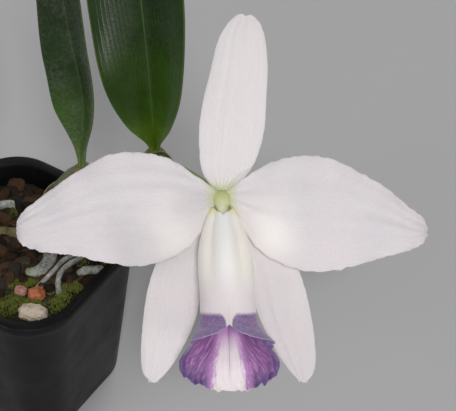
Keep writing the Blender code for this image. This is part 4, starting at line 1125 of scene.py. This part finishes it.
def lip_middle(rows, columns):
    """The lip in the bloom's frame. At each station of its floor an arc rolls up on both sides to the seam.
    Past the sinus between the lobes the middle lobe lies flatter, keeled along its middle and ruffled toward
    its margin. Also gives where each point lies on it, which rows are closed at the seam, and the folds'
    height, from which shade is painted into their valleys."""
    even = np.linspace(-1, 1, columns)
    side = np.interp(np.abs(even), (0, 0.6, 1), (0, LOBE_SPLIT, 1))
    sigma = np.sign(even) * side
    teeth = 0.32 * lumps(sigma * 33, 0 * sigma, 2.3, 90) + 0.13 * lumps(sigma * 33, 0 * sigma, 0.8, 91)
    teeth *= np.where(side < LOBE_SPLIT, 1.0, 0.25) * climb(side, 0.02, 0.05)
    front = np.interp(side, *LIP_FRONT.T) + teeth
    stations = along(LIP_STATIONS, column(200))
    foot = stations[0, 0]
    floor_y = foot + (front - foot) * column(rows) ** 0.76
    depth, radius, flat = (np.interp(-floor_y, -stations[:, 0], stations[:, k]) for k in (1, 2, 3))
    ahead = foot - floor_y
    to_front = floor_y - front
    opening = LIP_FOOT_OPENING * climb(ahead, LIP_FOOT_LENGTH, -LIP_FOOT_LENGTH) ** 1.4
    across = sigma * (math.pi - opening) * radius
    # the tube is pressed in on both sides of the column, and its side lobes flare a little at their front
    angle = np.abs(across) / radius
    press = 0.45 * hill(angle, math.pi, 0.26) - 1.0 * hill(angle, math.pi - 0.62, 0.26)
    press = press * climb(ahead, 0, 5) * climb(floor_y, -34, 12)
    wider = 0.9 + 1.9 * (sigma > 0) * hill(side, 0.5, 0.14)
    near_margin = climb(to_front, 6.5, -6.5)
    flare = wider * near_margin ** 1.6 * climb(side, LOBE_SPLIT - 0.03, 0.1)
    tube = 1 + (press + flare) / radius
    side_x, side_up = arc(across, 1 / radius)
    side_x, side_up = side_x * tube, radius + (side_up - radius) * tube
    middle_x, middle_up = arc(across, flat / radius)
    middle_x = middle_x * (1 + 0.075 * climb(-floor_y, 45, 4))
    split = climb(side, 0.40, 0.06)
    ruffle = 0.8 * climb(ahead, 41, 10) * (across / 15) ** 2 * np.sin(0.95 * across + 1.0)
    crimp = lumps(across, 0.5 * to_front, 2.6, 92) * near_margin ** 1.5 * np.clip(side / 0.12, 0.25, 1)
    ruffle = ruffle + 1.6 * crimp
    keels = 0.55 * hill(np.abs(across), 1.2, 0.9) - 0.5 * hill(across, 0, 0.34)
    keels = keels * climb(ahead, 30, 6) * climb(to_front, 0, 9)
    # the right side lobe's front end runs on into the middle lobe's margin with hardly a notch
    joined = 1.3 * (sigma > 0) * hill(side, 0.445, 0.018) * climb(to_front, 5, -5)
    sideways = middle_x + (side_x - middle_x) * split + joined
    up = middle_up + (side_up - middle_up) * split + (1 - split) * (ruffle + keels)
    lean = np.interp(-floor_y, np.linspace(-foot, 57, len(LIP_LEAN)), LIP_LEAN)
    y, z = floor_y + up * math.sin(LIP_TILT), depth + up * math.cos(LIP_TILT)
    seam = math.pi * radius - np.abs(across)
    welded = np.all(opening < 1e-6, axis=1)
    folds = (1 - split) * ruffle / 0.9
    return np.stack([lean + sideways, y, z], -1), across, floor_y, to_front, seam, side, welded, folds


def lip_finish():
    """Cream tube, rosy toward its mouth, yellow at its foot; violet lobes, bluer and then pale at the margin,
    with darker veins that fan out from the throat, a painted highlight along the tube's ridge at the seam and
    painted shade in the deepest folds of the ruffles. place is violet, vein fan, distance from the margin;
    tone is tube, foot, back of a lobe; fold is rosy throat, ruffle's depth for the painted shade, distance
    from the middle; the ridge values are nearness to the seam for the painted highlight, 0, 0."""
    look = Look("lip_tissue", roughness=0.45, specular_ior_level=0.34, sheen_weight=0.15, sheen_roughness=0.4,
                subsurface_weight=0.18, subsurface_scale=0.0012, subsurface_radius=(1.0, 0.8, 0.85))
    violet, fan, margin = look.place()
    tube, foot, back = look.place("tone")
    rosy, fold_shade, off_middle = look.place("fold")
    ridge, _, _ = look.place("ridge")
    # painted highlight: the tube is painted whiter along its ridge at the seam
    cream = look.mix(tube, look.mix(ridge, (0.98, 0.92, 0.83), (0.99, 0.965, 0.94)), (0.90, 0.815, 0.83))
    throat = look.mix(look.ramp(rosy, (0.0, 0.0), (0.7, 0.55), (1.0, 1.0)), cream, (0.60, 0.34, 0.64))
    yellow = look.mix(foot, throat, (0.84, 0.77, 0.16))
    line = look.ramp(look.times(look.math("ABSOLUTE", off_middle), 0.1), (0.015, 0.8), (0.04, 0.0))
    grooved = look.mix(look.times(line, rosy), yellow, (0.20, 0.09, 0.22))
    streaks = look.noise(2.6, 6, 0.7, 1.1, look.spot(fan, look.times(margin, 0.9)))
    lilac = look.ramp(streaks, (0.34, (0.125, 0.045, 0.18)), (0.50, (0.265, 0.103, 0.295)),
                      (0.66, (0.56, 0.29, 0.56)))
    toward = look.math("MULTIPLY_ADD", look.noise(260, 5, 0.6), 0.35, margin)
    blue = look.mix(look.ramp(toward, (0.16, 0.9), (0.68, 0.0)), lilac, (0.105, 0.085, 0.215))
    # painted shade: the deepest valleys of the ruffles are painted darker violet
    sunk = look.mix(look.ramp(fold_shade, (0.58, 0.0), (0.95, 0.6)), blue, (0.11, 0.04, 0.18))
    speckled = look.ramp(look.noise(1100, 5, 0.7), (0.34, (0.17, 0.10, 0.28)), (0.66, (0.38, 0.275, 0.48)))
    lobes = look.mix(look.times(back, 0.75), sunk, speckled)
    # the violet's edge is ragged along the veins, with a fine grain, and the tissue beside it is flushed
    veined = look.times(look.math("SUBTRACT", streaks, 0.5), look.math("SUBTRACT", 1.2, back))
    grained = look.math("MULTIPLY_ADD", look.math("SUBTRACT", look.noise(900, 5, 0.7), 0.5), 0.4, veined)
    edge = look.math("ADD", grained, violet)
    flushed = look.times(look.ramp(edge, (0.16, 0.0), (0.52, 1.0)), look.math("SUBTRACT", 1.0, back))
    pinkish = look.mix(flushed, grooved, (0.56, 0.29, 0.58))
    coloured = look.mix(look.ramp(edge, (0.40, 0.0), (0.92, 1.0)), pinkish, lobes)
    rim = look.times(look.ramp(margin, (0.006, 0.5), (0.022, 0.0)), violet)
    height, _ = look.put("Group", {"Size": 2300.0}, node_tree=crystals)
    return look.feed(base_color=look.mix(rim, coloured, (0.50, 0.44, 0.64)),
                     normal=look.bump(height, 0.00006, 0.6, Normal=look.bump(streaks, 0.0003, 0.4)))


points, across, floor_y, to_front, seam, side, welded, folds = lip_middle(*LIP_GRID)
lip_half = 0.5 * LIP_THICKNESS * (1 - 0.6 * climb(to_front, 2.5, -2.5))
# violet on the front of the side lobes, rounded off beside the white seam, and on both sides of the stripe
corner = climb(seam, 2.7, -2.2) ** 2 * 2.4
lobe_violet = climb(LOBE_VIOLET_TOP - corner - points[..., 1], -1, 2) * climb(seam, 0.35, 0.6)
off_stripe = np.abs(across - np.interp(-floor_y, *STRIPE_SHIFTS)) - np.interp(-floor_y, *STRIPE_HALVES)
middle_violet = climb(off_stripe, -2.025, 4.5) * climb(-floor_y, 36, 4)
violet = np.where(side > LOBE_SPLIT, lobe_violet, middle_violet)
fan = np.arctan2(across, -floor_y - FAN_MIDDLE) * 12
foot_tone = climb(-floor_y, 8.9, -5) * climb(side, 0.45, 0.2)
back_tone = climb(side, LOBE_SPLIT, 0.05)
rosy = climb(-floor_y, 34, 3) * climb(floor_y, -45.6, 5.5) * (1 - back_tone)
off_middle = across * (1 - back_tone) + 20 * back_tone
# the ridge values paint a highlight along the seam, and the fold values carry the painted shade of the
# ruffles
add_blade("rolled_lip", from_bloom(points), lip_half, lip_finish(), "lip", ["lip"], welded,
          place=(violet, fan, climb(to_front, 0, 10)), tone=(climb(-floor_y, 26, 9), foot_tone, back_tone),
          fold=(rosy, climb(folds, 1, -2), off_middle), ridge=(hill(seam, 0, 3.0), 0.0, 0.0))


# The stage: a plain pale floor, one key light above the camera, weak fills from the left and from behind, and
# a faint narrow light from low on the right. The camera looks squarely at the bloom's face.
FLOOR_HALF = 4
LAMPS = (
    # name, place, aim, size, power, colour, spread
    ("key", (0.26, -1.93, 2.12), (0.07, -0.09, 0.18), 0.42, 33.5, (1, 1, 1), math.pi),
    ("fill", (-1.6, -1.1, 1.5), (0.04, -0.06, 0.12), 1.4, 9, (0.97, 0.985, 1), math.pi),
    ("back", (0.7, 1.7, 1.6), (0.0, 0.0, 0.12), 1.2, 12, (1, 0.97, 0.93), math.pi),
    ("low", (0.56, -0.78, 0.13), (0.04, -0.03, 0.24), 0.12, 0.065, (1, 1, 1), 0.7),
)
SKY = (0.97, 0.98, 1)
SKY_STRENGTH = 0.24
CAMERA_PLACE = (0.08083, -0.4442, 0.5424)
CAMERA_LENS = 129.4
CAMERA_SENSOR = 36

floor_mesh = bpy.data.meshes.new("floor")
floor_corners = [(x * FLOOR_HALF, y * FLOOR_HALF, 0) for x, y in ((-1, -1), (1, -1), (1, 1), (-1, 1))]
floor_mesh.from_pydata(floor_corners, [], [(0, 1, 2, 3)])
floor_look = Look("floor_paint", base_color=(0.50, 0.50, 0.51), roughness=0.85, specular_ior_level=0.2)
floor_mesh.materials.append(floor_look.material)
floor = new_object("floor", floor_mesh)

for name, place, aim, size, power, colour, spread in LAMPS:
    light = bpy.data.lights.new(name, "AREA")
    light.shape = "DISK"
    light.size = size
    light.energy = power
    light.color = colour
    light.spread = spread
    lamp = new_object(name, light)
    lamp.location = place
    lamp.rotation_euler = (Vector(aim) - Vector(place)).to_track_quat("-Z", "Y").to_euler()
    lamp.visible_camera = False

world = bpy.data.worlds.new("studio")
world.use_nodes = True
background = world.node_tree.nodes["Background"]
fill(background.inputs["Color"], SKY)
fill(background.inputs["Strength"], SKY_STRENGTH)
bpy.context.scene.world = world
bpy.context.scene.view_settings.view_transform = "Standard"

camera_view = bpy.data.cameras.new("camera")
camera_view.sensor_width = CAMERA_SENSOR
camera_view.lens = CAMERA_LENS
camera = new_object("camera", camera_view)
camera.location = CAMERA_PLACE
camera.rotation_euler = (BLOOM_TILT, 0, 0)
bpy.context.scene.camera = camera
